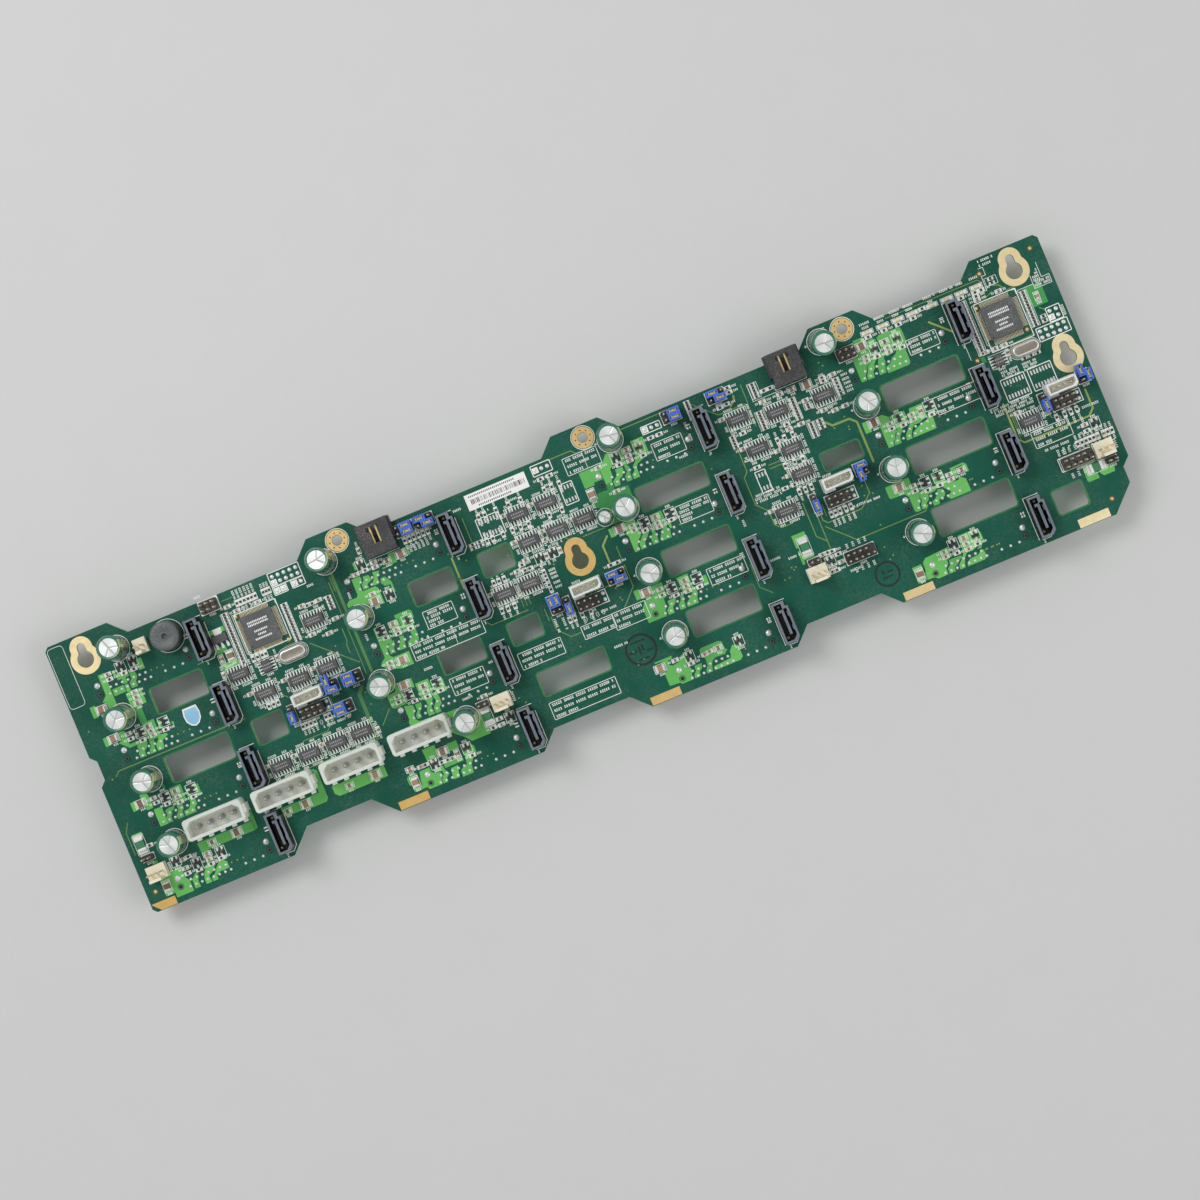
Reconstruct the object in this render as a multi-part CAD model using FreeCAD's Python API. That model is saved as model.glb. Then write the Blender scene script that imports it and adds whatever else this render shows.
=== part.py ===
# Drive backplane board with sixteen drive sockets below and sixteen data sockets above.
# Units are millimetres. X runs along the long edge, Y towards the tabbed edge, Z out of the component side.
# The origin is the middle of the board outline, at the level of the drive sockets' mating faces.
import FreeCAD, Part
import math
import os

from FreeCAD import Vector

os.makedirs("parts", exist_ok=True)

# Grid of drive bays
columns = 4
rows = 4
column_pitch = 109.22
row_pitch = 27.94
left_margin = 33.57
right_margin = 68.97
top_margin = 22.09
bottom_margin = 9.49
bay_middle = 6.0

# Board blank
board_thickness = 2.0
tab_depth = 6.7
notch_depth = 6.9
corner_chamfer = 1.6
window_corner = 1.0
keyhole_radius = 3.35
keyhole_neck_radius = 1.77
keyhole_rise = 5.08
screw_hole_radius = 2.1

# Drive socket, on the hidden side
drive_height = 11.0
drive_base_height = 3.2
drive_length = 42.4
drive_width = 7.2
drive_offset = -2.6
drive_bar_length = 33.4
drive_bar_width = 4.6
drive_slot_width = 1.5
drive_slot_depth = 6.2
drive_slot_margin = 1.6
drive_arm = 2.0

# Data socket, on the component side
data_offset = 27.0
data_rise = 1.65
data_length = 17.0
data_width = 6.4
data_height = 8.5
data_wall = 0.9
data_floor = 1.8
data_tongue_length = 10.4
data_tongue = 1.1
data_tongue_gap = 2.2
data_hook = 1.5
data_step = 1.1
data_step_length = 2.3
data_chamfer = 1.6
data_rib_length = 2.1
data_rib_spacing = 5.8
data_rib_clearance = 0.9

# Large and small capacitors
can_radius = 5.0
can_height = 16.0
small_can_radius = 3.15
small_can_height = 11.0
can_shoulder = 0.5

# Power sockets
power_count = 4
power_length = 24.9
power_width = 8.9
power_height = 11.2
power_wall = 1.3
power_floor = 3.0
power_key = 2.0
power_pins = 4
power_pin_pitch = 5.08
power_pin_radius = 1.05
power_pin_recess = 1.4
power_foot_width = 1.9
power_foot_reach = 1.3
power_foot_height = 2.0
power_lug_width = 3.6
power_lug_reach = 0.9
power_left_gap = 2.6
power_right_gap = 0.7

# Pin headers, jumper caps and open sockets with a locking wall
pin_pitch = 2.54
pin_width = 0.64
header_height = 2.5
header_chamfer = 0.5
pin_rise = 6.0
jumper_clearance = 0.08
jumper_slot_width = 1.1
jumper_slot_length = 3.9
lock_block_height = 3.2
lock_block_depth = 6.3
lock_block_margin = 1.45
lock_wall = 1.2
lock_wall_height = 11.0
lock_pin_tip = 11.4

# Side-entry sockets at the tabbed edge
side_width = 13.0
side_depth = 13.5
side_height = 8.4
side_wall = 1.2
side_mouth_depth = 9.0
side_window_width = 5.6
side_window_front = 1.8
side_slot_width = 3.4
side_slot_length = 5.2
side_window_setback = 1.9
side_overhang = 2.9
side_fin = 0.8
side_fin_height = 5.0

# Bus sockets
bus_length = 12.6
bus_width = 4.7
bus_height = 7.4
bus_wall = 0.8
bus_floor = 2.0
bus_chamfer = 1.1
bus_foot_length = 4.6
bus_foot_width = 1.1
bus_foot_height = 2.0
bus_pins = 4
bus_pin_recess = 1.0

# Packages
controller_size = 14.0
controller_height = 1.4
logic_length = 8.65
logic_width = 3.9
logic_height = 1.5
memory_length = 4.9
package_bevel = 0.25
regulator_length = 6.5
regulator_width = 3.5
regulator_height = 1.6
regulator_gap = 0.3
crystal_length = 11.1
crystal_width = 4.7
crystal_height = 3.6
crystal_flange = 0.45
crystal_flange_height = 0.5
fuse_length = 5.0
fuse_width = 3.4
fuse_height = 0.9
fuse_cap = 0.9
buzzer_radius = 6.05
buzzer_height = 8.5
buzzer_hole_radius = 1.15
buzzer_hole_depth = 1.5
buzzer_chamfer = 0.4

# Levels and overall sizes that follow
board_length = left_margin + (columns - 1) * column_pitch + right_margin
board_width = top_margin + (rows - 1) * row_pitch + bottom_margin
underside = drive_height
surface = underside + board_thickness
pin_tip = header_height + pin_rise


def column_x(column):
    return left_margin - board_length / 2 + column * column_pitch


def row_y(row):
    return board_width / 2 - top_margin - row * row_pitch


def along(column, dx):
    """X of a place given from its column. Past the bay's middle it keeps its share of the way to the next column."""
    if column < columns - 1 and dx > bay_middle:
        # The places were measured between columns that stand 109.22 apart.
        dx = bay_middle + (dx - bay_middle) * (column_pitch - bay_middle) / (109.22 - bay_middle)
    return column_x(column) + dx


def site(column, dx, row, dy):
    """A point on the component side, measured from the leg line of one drive bay."""
    return Vector(along(column, dx), row_y(row) + dy, surface)


def block(x, y, z, length, width, height):
    """A box centred on x and y, standing on z."""
    return Part.makeBox(length, width, height, Vector(x - length / 2, y - width / 2, z))


def prism(points, z, height):
    corners = [Vector(x, y, z) for x, y in points]
    face = Part.Face(Part.makePolygon(corners + corners[:1]))
    return face.extrude(Vector(0, 0, height))


def post(x, y, z, radius, height):
    return Part.makeCylinder(radius, height, Vector(x, y, z))


def rounded_corners(length, width, radius, steps):
    """Points of a rectangle about the origin whose corners are arcs of a few straight steps."""
    points = []
    for turn, (side_x, side_y) in enumerate(((1, 1), (-1, 1), (-1, -1), (1, -1))):
        for step in range(steps + 1):
            angle = (turn + step / steps) * math.pi / 2
            points.append((side_x * (length / 2 - radius) + radius * math.cos(angle),
                           side_y * (width / 2 - radius) + radius * math.sin(angle)))
    return points


def rounded_block(x, y, z, length, width, height, radius, steps=2):
    points = rounded_corners(length, width, radius, steps)
    return prism([(x + dx, y + dy) for dx, dy in points], z, height)


def faceted_post(x, y, z, radius, height, sides=12):
    turns = [2 * math.pi * (side + 0.5) / sides for side in range(sides)]
    return prism([(x + radius * math.cos(turn), y + radius * math.sin(turn)) for turn in turns], z, height)


def oval_block(length, width, height, steps=8):
    """A block along X with half-round ends of a few straight steps."""
    radius = width / 2
    points = []
    for side in (1, -1):
        for step in range(steps + 1):
            turn = (step / steps - 0.5) * math.pi
            points.append((side * (length / 2 - radius + radius * math.cos(turn)), side * radius * math.sin(turn)))
    return prism(points, 0, height)


def top_edges(shape):
    top = shape.BoundBox.ZMax
    return [edge for edge in shape.Edges if abs(edge.BoundBox.ZMin - top) < 1e-6]


def moved(shape, place, turn=0):
    copy = shape.copy()
    copy.rotate(Vector(0, 0, 0), Vector(0, 0, 1), turn)
    copy.translate(place)
    return copy


def export(name, solids):
    shape = solids[0] if len(solids) == 1 else Part.makeCompound(solids)
    shape.exportStep(os.path.join("parts", name + ".step"))


# Board outline

# Each tab on the upper edge: its bay column and its two ends at full height, from that column's centre.
tabs = [(0, None, -6.3), (1, -28.2, -10.5), (2, -31.1, -10.9), (3, -29.1, -9.8), (3, 40.2, None)]
# Each notch in the lower edge: column and the two ends of its floor, and how much deeper it is than most.
notches = [(0, 37.1, 65.2, 2.1), (1, 34.8, 67.5, 0.3), (3, -74.3, -42.4, -0.1)]
left_bite = (2.4, 10.0, -2.9)
right_bite = (3.4, -37.9, -41.2, -47.9)


def board_outline():
    """Corner points of the blank, clockwise from the upper left."""
    right, top = board_length / 2, board_width / 2
    left, bottom = -right, -top
    shoulder = top - tab_depth
    points = [(left, top - corner_chamfer), (left + corner_chamfer, top)]
    for column, start, end in tabs:
        if start is not None:
            points.append((column_x(column) + start - tab_depth, shoulder))
            points.append((column_x(column) + start, top))
        if end is not None:
            points.append((column_x(column) + end, top))
            points.append((column_x(column) + end + tab_depth, shoulder))
    points += [(right - corner_chamfer, top), (right, top - corner_chamfer)]
    reach, upper, middle, lower = right_bite
    corner = lower - bottom
    points += [(right, upper), (right - reach, middle), (right - reach, lower),
               (right - reach - corner, bottom)]
    for column, start, end, deeper in reversed(notches):
        depth = notch_depth + deeper
        points += [(column_x(column) + end + depth, bottom), (column_x(column) + end, bottom + depth),
                   (column_x(column) + start, bottom + depth), (column_x(column) + start - depth, bottom)]
    points += [(left + corner_chamfer, bottom), (left, bottom + corner_chamfer)]
    reach, upper, lower = left_bite
    points += [(left, lower), (left + reach, lower + reach), (left + reach, upper - reach), (left, upper)]
    return points


# Airflow windows: column, left and right edge from its centre, row, upper and lower edge from its leg line.
windows = [
    (0, -0.7, 21.6, 0, -9.5, -19.9),
    (0, -5.8, 21.6, 1, -9.1, -19.8),
    (0, 32.1, 45.1, 1, -9.1, -19.2),
    (1, 2.7, 20.9, 0, -10.3, -20.1),
    (1, 2.8, 21.0, 1, -12.7, -21.9),
    (1, 32.8, 45.9, 0, -10.3, -20.1),
    (1, 32.8, 45.9, 1, -12.7, -21.9),
    (1, 36.4, 65.2, 2, -7.5, -17.2),
    (2, -8.1, 20.8, 0, -10.4, -20.1),
    (2, -8.1, 20.8, 1, -9.6, -20.3),
    (2, -8.1, 20.8, 2, -7.5, -18.3),
    (2, 65.3, 81.6, 1, 2.0, -5.3),
    (3, -11.4, 21.4, 0, -10.2, -20.6),
    (3, -11.4, 21.4, 1, -9.1, -20.3),
    (3, -11.4, 21.4, 2, -7.5, -18.9),
    (3, 35.1, 47.8, 2, -19.4, -29.3),
]
# Keyholes and round screw holes: column, distance from its centre, row, distance from its leg line.
keyholes = [(0, -19.5, 0, 11.7), (1, 70.3, 1, -0.3), (3, 55.4, 0, 11.7), (3, 62.1, 1, -0.3)]
screw_holes = [(1, -16.7, 0, 16.75), (2, -19.2, 0, 16.75), (3, -16.5, 0, 16.75)]


def circuit_board():
    blank = prism(board_outline(), underside, board_thickness)
    tools = []
    for column, start, end, row, upper, lower in windows:
        first, last = site(column, start, row, upper), site(column, end, row, lower)
        tools.append(rounded_block((first.x + last.x) / 2, (first.y + last.y) / 2, underside,
                                   end - start, upper - lower, board_thickness, window_corner))
    for place in keyholes:
        centre = site(*place)
        tools.append(post(centre.x, centre.y, underside, keyhole_radius, board_thickness))
        tools.append(post(centre.x, centre.y + keyhole_rise, underside, keyhole_neck_radius, board_thickness))
        tools.append(block(centre.x, centre.y + keyhole_rise / 2, underside,
                           2 * keyhole_neck_radius, keyhole_rise, board_thickness))
    for place in screw_holes:
        centre = site(*place)
        tools.append(post(centre.x, centre.y, underside, screw_hole_radius, board_thickness))
    return blank.cut(tools)


# Sockets

def drive_socket():
    """A receptacle hanging below z = 0, its length along X, with its leg line at y = 0."""
    base = block(0, drive_offset, -drive_base_height, drive_length, drive_width, drive_base_height)
    bar = block(0, drive_offset, -drive_height, drive_bar_length, drive_bar_width, drive_height)
    socket = base.fuse(bar)
    for side in (-1, 1):
        outer, inner = side * drive_length / 2, side * (drive_length / 2 - drive_arm)
        lead = side * drive_arm / 2
        profile = [(inner, 0), (outer, 0), (outer, drive_height - drive_arm),
                   (outer - lead, drive_height), (inner, drive_height)]
        corners = [Vector(x, drive_offset - drive_width / 2, -depth) for x, depth in profile]
        face = Part.Face(Part.makePolygon(corners + corners[:1]))
        socket = socket.fuse(face.extrude(Vector(0, drive_width, 0)))
    slot = block(0, drive_offset, -drive_height, drive_bar_length - 2 * drive_slot_margin,
                 drive_slot_width, drive_slot_depth)
    key = block(drive_slot_margin - drive_bar_length / 2 + drive_slot_width / 2,
                drive_offset + drive_slot_width / 2, -drive_height, drive_slot_width,
                drive_slot_width, drive_slot_depth)
    return socket.cut([slot, key]).removeSplitter()


def data_socket():
    """A shrouded receptacle with its hooked tongue, centred on the origin."""
    half_x, half_y = data_width / 2, data_length / 2
    outline = [
        (-half_x, half_y), (half_x - data_step, half_y),
        (half_x - data_step, half_y - data_step_length), (half_x, half_y - data_step_length),
        (half_x, data_chamfer - half_y), (half_x - data_chamfer, -half_y), (-half_x, -half_y),
    ]
    inner_x, inner_y = half_x - data_wall, half_y - data_wall
    inner_step = data_step + data_wall / 2
    cavity = [
        (-inner_x, inner_y), (inner_x - inner_step, inner_y),
        (inner_x - inner_step, inner_y - data_step_length), (inner_x, inner_y - data_step_length),
        (inner_x, data_chamfer - inner_y), (inner_x - data_chamfer, -inner_y), (-inner_x, -inner_y),
    ]
    body = prism(outline, 0, data_height).cut(prism(cavity, data_floor, data_height - data_floor))
    tongue_height = data_height - data_floor - data_rib_clearance
    tongue_x = data_tongue_gap + data_tongue / 2 - inner_x
    tongue = block(tongue_x, 0, data_floor, data_tongue, data_tongue_length, tongue_height)
    hook_y = data_tongue_length / 2 - data_tongue / 2
    hook = block(tongue_x - data_hook / 2, hook_y, data_floor, data_hook, data_tongue, tongue_height)
    body = body.fuse([tongue, hook])
    rib_reach = inner_x - tongue_x - data_tongue / 2 - data_rib_clearance
    for side in (-1, 1):
        rib = block(inner_x - rib_reach / 2, side * data_rib_spacing / 2, data_floor,
                    rib_reach, data_rib_length, tongue_height)
        body = body.fuse(rib)
    return body.removeSplitter()


def power_socket():
    """A keyed shroud, open upwards, with feet along its lower edge and a lug at its right end."""
    body = rounded_block(0, 0, 0, power_length, power_width, power_height, power_wall)
    inner_x, inner_y = power_length / 2 - power_wall, power_width / 2 - power_wall
    cavity = [
        (power_key - inner_x, inner_y), (inner_x - power_key, inner_y), (inner_x, inner_y - power_key),
        (inner_x, -inner_y), (-inner_x, -inner_y), (-inner_x, inner_y - power_key),
    ]
    body = body.cut(prism(cavity, power_floor, power_height - power_floor))
    for index in range(power_pins + 1):
        x = (index - power_pins / 2) * power_pin_pitch
        body = body.fuse(block(x, -(power_width + power_foot_reach) / 2, 0,
                               power_foot_width, power_foot_reach, power_foot_height))
    lug = block((power_length + power_lug_reach) / 2, 0, 0,
                power_lug_reach, power_lug_width, power_height - power_wall)
    return body.fuse(lug).removeSplitter()


def power_pin():
    """A round pin in twelve facets."""
    height = power_height - power_pin_recess - power_floor
    return faceted_post(0, 0, power_floor, power_pin_radius, height)


def side_socket():
    """A right-angle receptacle opening towards +Y, with a T-shaped window in its roof."""
    body = block(0, 0, 0, side_width, side_depth, side_height)
    mouth_y = (side_depth - side_mouth_depth) / 2
    mouth = block(0, mouth_y, side_wall, side_width - 2 * side_wall, side_mouth_depth,
                  side_height - 2 * side_wall)
    front = side_depth / 2 - side_window_setback
    window = block(0, front - side_window_front / 2, side_height - side_wall,
                   side_window_width, side_window_front, side_wall)
    slot = block(0, front - side_window_front - side_slot_length / 2, side_height - side_wall,
                 side_slot_width, side_slot_length, side_wall)
    body = body.cut([mouth, window, slot])
    for side in (-1, 1):
        fin_x = side * (side_width + side_fin) / 2
        body = body.fuse(block(fin_x, mouth_y, 0, side_fin, side_mouth_depth, side_fin_height))
    return body.removeSplitter()


def side_pins():
    """Four blades along Y, each from the rear of the mouth to near its front."""
    height = side_height - side_wall - side_wall / 2 - pin_width
    length = side_mouth_depth - side_window_setback
    centre = side_depth / 2 - side_mouth_depth + length / 2
    return [block((index - 1.5) * pin_pitch, centre, height, pin_width, length, pin_width)
            for index in range(4)]


def bus_socket():
    """A small shrouded receptacle with one chamfered corner and a foot at the other end."""
    half_x, half_y = bus_length / 2, bus_width / 2
    outline = [(-half_x, half_y), (half_x, half_y), (half_x, bus_chamfer - half_y),
               (half_x - bus_chamfer, -half_y), (-half_x, -half_y)]
    inner_x, inner_y = half_x - bus_wall, half_y - bus_wall
    cavity = [(-inner_x, inner_y), (inner_x, inner_y), (inner_x, bus_chamfer - inner_y),
              (inner_x - bus_chamfer, -inner_y), (-inner_x, -inner_y)]
    body = prism(outline, 0, bus_height).cut(prism(cavity, bus_floor, bus_height - bus_floor))
    foot = block(bus_foot_length / 2 - half_x, -half_y - bus_foot_width / 2, 0,
                 bus_foot_length, bus_foot_width, bus_foot_height)
    return body.fuse(foot).removeSplitter()


def bus_socket_pins():
    height = bus_height - bus_pin_recess - bus_floor
    return [block((index - (bus_pins - 1) / 2) * pin_pitch, 0, bus_floor, pin_width, pin_width, height)
            for index in range(bus_pins)]


def lock_socket(pins):
    """An open pin block with a locking wall along its lower edge."""
    length = (pins - 1) * pin_pitch + 2 * lock_block_margin
    base = block(0, 0, 0, length, lock_block_depth, lock_block_height)
    wall = block(0, (lock_wall - lock_block_depth) / 2, 0, (pins - 1) * pin_pitch, lock_wall,
                 lock_wall_height)
    return base.fuse(wall).removeSplitter()


def lock_socket_pins(pins):
    height = lock_pin_tip - lock_block_height
    return [block((index - (pins - 1) / 2) * pin_pitch, 0, lock_block_height, pin_width, pin_width, height)
            for index in range(pins)]


# Pin headers and jumper caps

def header_body(across, deep):
    """A strip with its corners cut."""
    cut = header_chamfer
    length, width = across * pin_pitch, deep * pin_pitch
    points = [(cut, 0), (length - cut, 0), (length, cut), (length, width - cut),
              (length - cut, width), (cut, width), (0, width - cut), (0, cut)]
    return prism([(x - length / 2, y - width / 2) for x, y in points], 0, header_height)


def header_pin_points(across, deep):
    for i in range(across):
        for j in range(deep):
            yield ((i - (across - 1) / 2) * pin_pitch, (j - (deep - 1) / 2) * pin_pitch)


def jumper_cap():
    """A shunt housing over two pins, its slot open through its top."""
    length, width = 2 * pin_pitch - jumper_clearance, pin_pitch - jumper_clearance
    body = block(0, 0, 0, length, width, pin_rise)
    return body.cut(block(0, 0, 0, jumper_slot_length, jumper_slot_width, pin_rise))


# Round and moulded packages

def capacitor(radius, height):
    """A sleeved can with its shoulder rolled in at the top."""
    can = post(0, 0, 0, radius, height)
    return can.makeChamfer(can_shoulder, top_edges(can))


def leaned(shape, radius, height, lean_x, lean_y):
    """Tips a can so that its top moves by the lean while the edge of its foot stays on the board."""
    angle = math.asin(math.hypot(lean_x, lean_y) / height)
    copy = shape.copy()
    if angle > 0:
        copy.rotate(Vector(0, 0, 0), Vector(-lean_y, lean_x, 0), math.degrees(angle))
        copy.translate(Vector(0, 0, radius * math.sin(angle)))
    return copy


def package(length, width, height):
    """A moulded body whose walls slope away from its parting line."""
    wires = []
    for z, inset in ((0, package_bevel), (height / 2, 0), (height, package_bevel)):
        half_x, half_y = length / 2 - inset, width / 2 - inset
        corners = [Vector(-half_x, -half_y, z), Vector(half_x, -half_y, z),
                   Vector(half_x, half_y, z), Vector(-half_x, half_y, z)]
        wires.append(Part.makePolygon(corners + corners[:1]))
    return Part.makeLoft(wires, True, True)


def crystal():
    """A drawn oval can on its wider flange."""
    flange = oval_block(crystal_length + 2 * crystal_flange, crystal_width + 2 * crystal_flange,
                        crystal_flange_height)
    return flange.fuse(oval_block(crystal_length, crystal_width, crystal_height))


def fuse():
    """A chip fuse, thicker at its two plated ends."""
    waist = block(0, 0, 0, fuse_width, fuse_length - 2 * fuse_cap, fuse_height * 0.8)
    ends = [block(0, side * (fuse_length - fuse_cap) / 2, 0, fuse_width, fuse_cap, fuse_height)
            for side in (-1, 1)]
    return waist.fuse(ends).removeSplitter()


def buzzer():
    body = post(0, 0, 0, buzzer_radius, buzzer_height)
    body = body.makeChamfer(buzzer_chamfer, top_edges(body))
    return body.cut(post(0, 0, buzzer_height - buzzer_hole_depth, buzzer_hole_radius, buzzer_hole_depth))


# Places on the component side

# Capacitors: column, distance, row, distance, and how far the top leans to the right and towards the tabs.
capacitor_sites = [
    (0, -6.2, 0, 11.0, 0.4, 0.7), (0, -14.5, 1, 12.8, 0.2, -0.6),
    (0, -14.3, 2, 13.3, 0.3, 0.1), (0, -14.6, 3, 14.1, 0.7, 0.2),
    (1, -24.8, 0, 10.8, -0.6, 1.2), (1, -19.6, 1, 12.6, -0.2, -0.2),
    (1, -22.1, 2, 13.2, 0.3, -1.3), (1, 3.8, 3, 14.6, 0.2, -0.8),
    (2, -9.4, 0, 11.9, 0.1, 0.8), (2, -14.1, 1, 12.1, 0.0, 0.1),
    (2, -15.2, 2, 13.3, 0.1, -1.0), (2, -15.2, 3, 14.1, -0.2, -0.6),
    (3, -26.5, 0, 15.4, -0.1, -2.0), (3, -19.1, 1, 12.8, -0.4, 0.9),
    (3, -19.3, 2, 13.3, 0.2, 0.1), (3, -19.3, 3, 14.2, -0.3, -0.8),
]
small_capacitor_site = (2, -23.2, 1, 11.9)
power_line = (0, 0, 3, 16.2)
side_socket_columns = [(1, -1.0), (3, -43.4)]
bus_sites = [(0, 58.1, 1, -8.3), (1, 68.3, 1, -10.9), (2, 67.7, 1, -10.1), (3, 54.5, 1, -9.6)]
fan_sites = [(0, -25.5, 3, 5.5), (1, 19.4, 3, 15.8), (2, 46.7, 3, 14.5), (3, 61.0, 3, 16.9)]
reset_site = (0, 3.6, 0, 8.1)
buzzer_site = (0, 14.9, 0, 7.7)
controller_sites = [(0, 50.8, 0, -3.9), (3, 43.4, 0, -4.0)]
crystal_sites = [(0, 58.9, 0, -18.1), (3, 47.4, 0, -18.5)]
memory_sites = [(0, 47.1, 0, -18.8), (3, 36.1, 0, -18.8)]
regulator_site = (0, data_offset, 0, -1.4)
fuse_sites = [(0, -27.9, 2, -9.7, 0), (1, 11.7, 2, -15.6, 0), (2, 45.8, 2, -1.8, 0), (3, 55.5, 3, 11.1, 90)]
logic_sites = [
    (0, 35.4, 0, -17.7), (0, 42.4, 1, -0.7), (0, 57.0, 1, -0.7), (0, 69.5, 1, -0.7), (0, 71.5, 0, -9.0),
    (0, 37.1, 2, -2.1), (0, 49.3, 2, -2.1), (0, 61.1, 2, -2.1), (0, 72.0, 2, -2.1),
    (1, 54.2, 0, -1.6), (1, 66.4, 0, -1.6), (1, 54.3, 0, -13.3), (1, 66.5, 0, -13.3), (1, 78.0, 0, -13.3),
    (1, 37.2, 1, -1.0), (1, 48.1, 1, -1.0),
    (2, 40.7, 0, -0.3), (2, 43.6, 0, -14.4), (2, 56.3, 0, -3.8), (2, 56.2, 0, -19.5), (2, 56.3, 1, -2.1),
    (2, 75.9, 0, -4.8), (2, 44.6, 1, -13.7), (3, 38.4, 1, -17.8),
]
# Pin headers: column, distance, row, distance, pins along X, pins along Y.
header_sites = [
    (0, 34.9, 0, 12.3, 3, 2), (3, -18.8, 0, 7.1, 3, 2),
    (0, 57.3, 1, -14.4, 4, 2), (1, 67.1, 1, -17.0, 4, 2), (2, 65.5, 1, -17.0, 4, 2), (3, 53.4, 1, -15.6, 4, 2),
    (2, 65.2, 3, 15.2, 5, 2), (3, 49.6, 3, 16.7, 5, 2),
    (0, -26.9, 3, 12.3, 2, 1), (1, 12.0, 3, 17.5, 2, 1), (2, 47.1, 3, 19.4, 2, 1), (3, 62.1, 3, 11.4, 2, 1),
    (0, 68.4, 1, -8.3, 2, 2), (0, 77.3, 1, -8.3, 3, 2), (0, 69.5, 1, -18.1, 3, 2), (0, 49.3, 1, -12.8, 1, 3),
    (1, 10.0, 0, 10.6, 3, 2), (1, 18.8, 0, 10.6, 3, 2),
    (1, 54.2, 1, -12.5, 2, 3), (1, 59.0, 1, -15.1, 1, 3),
    (1, 81.1, 1, -11.6, 3, 2), (2, 16.6, 0, 11.3, 3, 2), (2, 36.0, 0, 11.5, 3, 2),
    (2, 78.2, 1, -9.4, 2, 2), (3, 45.9, 1, -13.3, 1, 3), (3, 64.4, 1, -9.5, 2, 2),
    (2, 56.2, 1, -15.2, 1, 3),
]
# A header of this many columns has no pin in its upper right corner, as its key.
keyed_columns = 5
# Jumper caps: index of the header, steps from its middle along X and Y in pin pitches, and whether it lies along Y.
jumper_places = [
    (12, -0.5, 1.0, True), (12, 0.0, -0.5, False), (13, -0.5, 0.5, False), (13, -0.5, -0.5, False),
    (14, -0.5, 0.5, False), (14, -0.5, -0.5, False), (15, 0.0, -0.5, True),
    (16, 0.5, 0.5, False), (16, 0.5, -0.5, False), (17, -0.5, 0.5, False), (17, 0.5, -0.5, False),
    (18, -0.5, 0.5, True), (18, 0.5, 0.5, True), (19, 0.0, -0.5, True),
    (20, -0.5, 0.5, False), (20, 0.5, -0.5, False), (21, 0.5, 0.5, False), (21, 0.5, -0.5, False),
    (22, -0.5, 0.5, False), (22, 0.5, -0.5, False), (23, 0.0, 0.5, False), (23, -0.5, -1.0, True),
    (24, 0.0, -0.5, True), (25, -0.5, 1.0, True), (25, 0.5, 0.0, True),
    (26, 0.0, -0.5, True),
]


def build_board_side():
    export("circuit_board", [circuit_board()])
    drive = drive_socket()
    for column in range(columns):
        sockets = [moved(drive, site(column, 0, row, 0) - Vector(0, 0, board_thickness)) for row in range(rows)]
        export("drive_sockets_column_%d" % (column + 1), sockets)


def build_sockets():
    data = data_socket()
    for column in range(columns):
        for row in range(rows):
            name = "data_socket_%02d" % (column * rows + row + 1)
            export(name, [moved(data, site(column, data_offset, row, data_rise))])
    power = power_socket()
    pins = []
    left, right = [site(*capacitor_sites[index][:4]).x for index in (rows - 1, 2 * rows - 1)]
    start = left + can_radius + power_left_gap + power_length / 2
    last = right - can_radius - power_right_gap - power_lug_reach - power_length / 2
    for index in range(power_count):
        place = Vector(start + index * (last - start) / (power_count - 1), site(*power_line).y, surface)
        export("power_socket_%d" % (index + 1), [moved(power, place)])
        for number in range(power_pins):
            offset = Vector((number - (power_pins - 1) / 2) * power_pin_pitch, 0, 0)
            pins.append(moved(power_pin(), place + offset))
    export("power_pins", pins)
    blades = []
    for index, (column, dx) in enumerate(side_socket_columns):
        front = board_width / 2 - tab_depth + side_overhang
        place = Vector(column_x(column) + dx, front - side_depth / 2, surface)
        export("side_socket_%d" % (index + 1), [moved(side_socket(), place)])
        blades += [moved(pin, place) for pin in side_pins()]
    export("side_socket_pins", blades)
    export("bus_sockets", [moved(bus_socket(), site(*place)) for place in bus_sites])
    export("fan_sockets", [moved(lock_socket(3), site(*place)) for place in fan_sites])
    export("reset_socket", [moved(lock_socket(2), site(*reset_site))])


def build_headers():
    bodies, pins = [], []
    for column, dx, row, dy, across, deep in header_sites:
        place = site(column, dx, row, dy)
        bodies.append(moved(header_body(across, deep), place))
        points = list(header_pin_points(across, deep))
        if across == keyed_columns:
            points.pop()
        for x, y in points:
            pin = block(x, y, header_height, pin_width, pin_width, pin_rise)
            pins.append(moved(pin, place))
    for place in bus_sites:
        pins += [moved(pin, site(*place)) for pin in bus_socket_pins()]
    for place in fan_sites:
        pins += [moved(pin, site(*place)) for pin in lock_socket_pins(3)]
    pins += [moved(pin, site(*reset_site)) for pin in lock_socket_pins(2)]
    export("pin_headers", bodies)
    export("header_pins", pins)
    caps = []
    for index, steps_x, steps_y, upright in jumper_places:
        middle = site(*header_sites[index][:4])
        place = middle + Vector(steps_x * pin_pitch, steps_y * pin_pitch, 0)
        caps.append(moved(jumper_cap(), place + Vector(0, 0, header_height), 90 if upright else 0))
    export("jumper_caps", caps)


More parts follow.
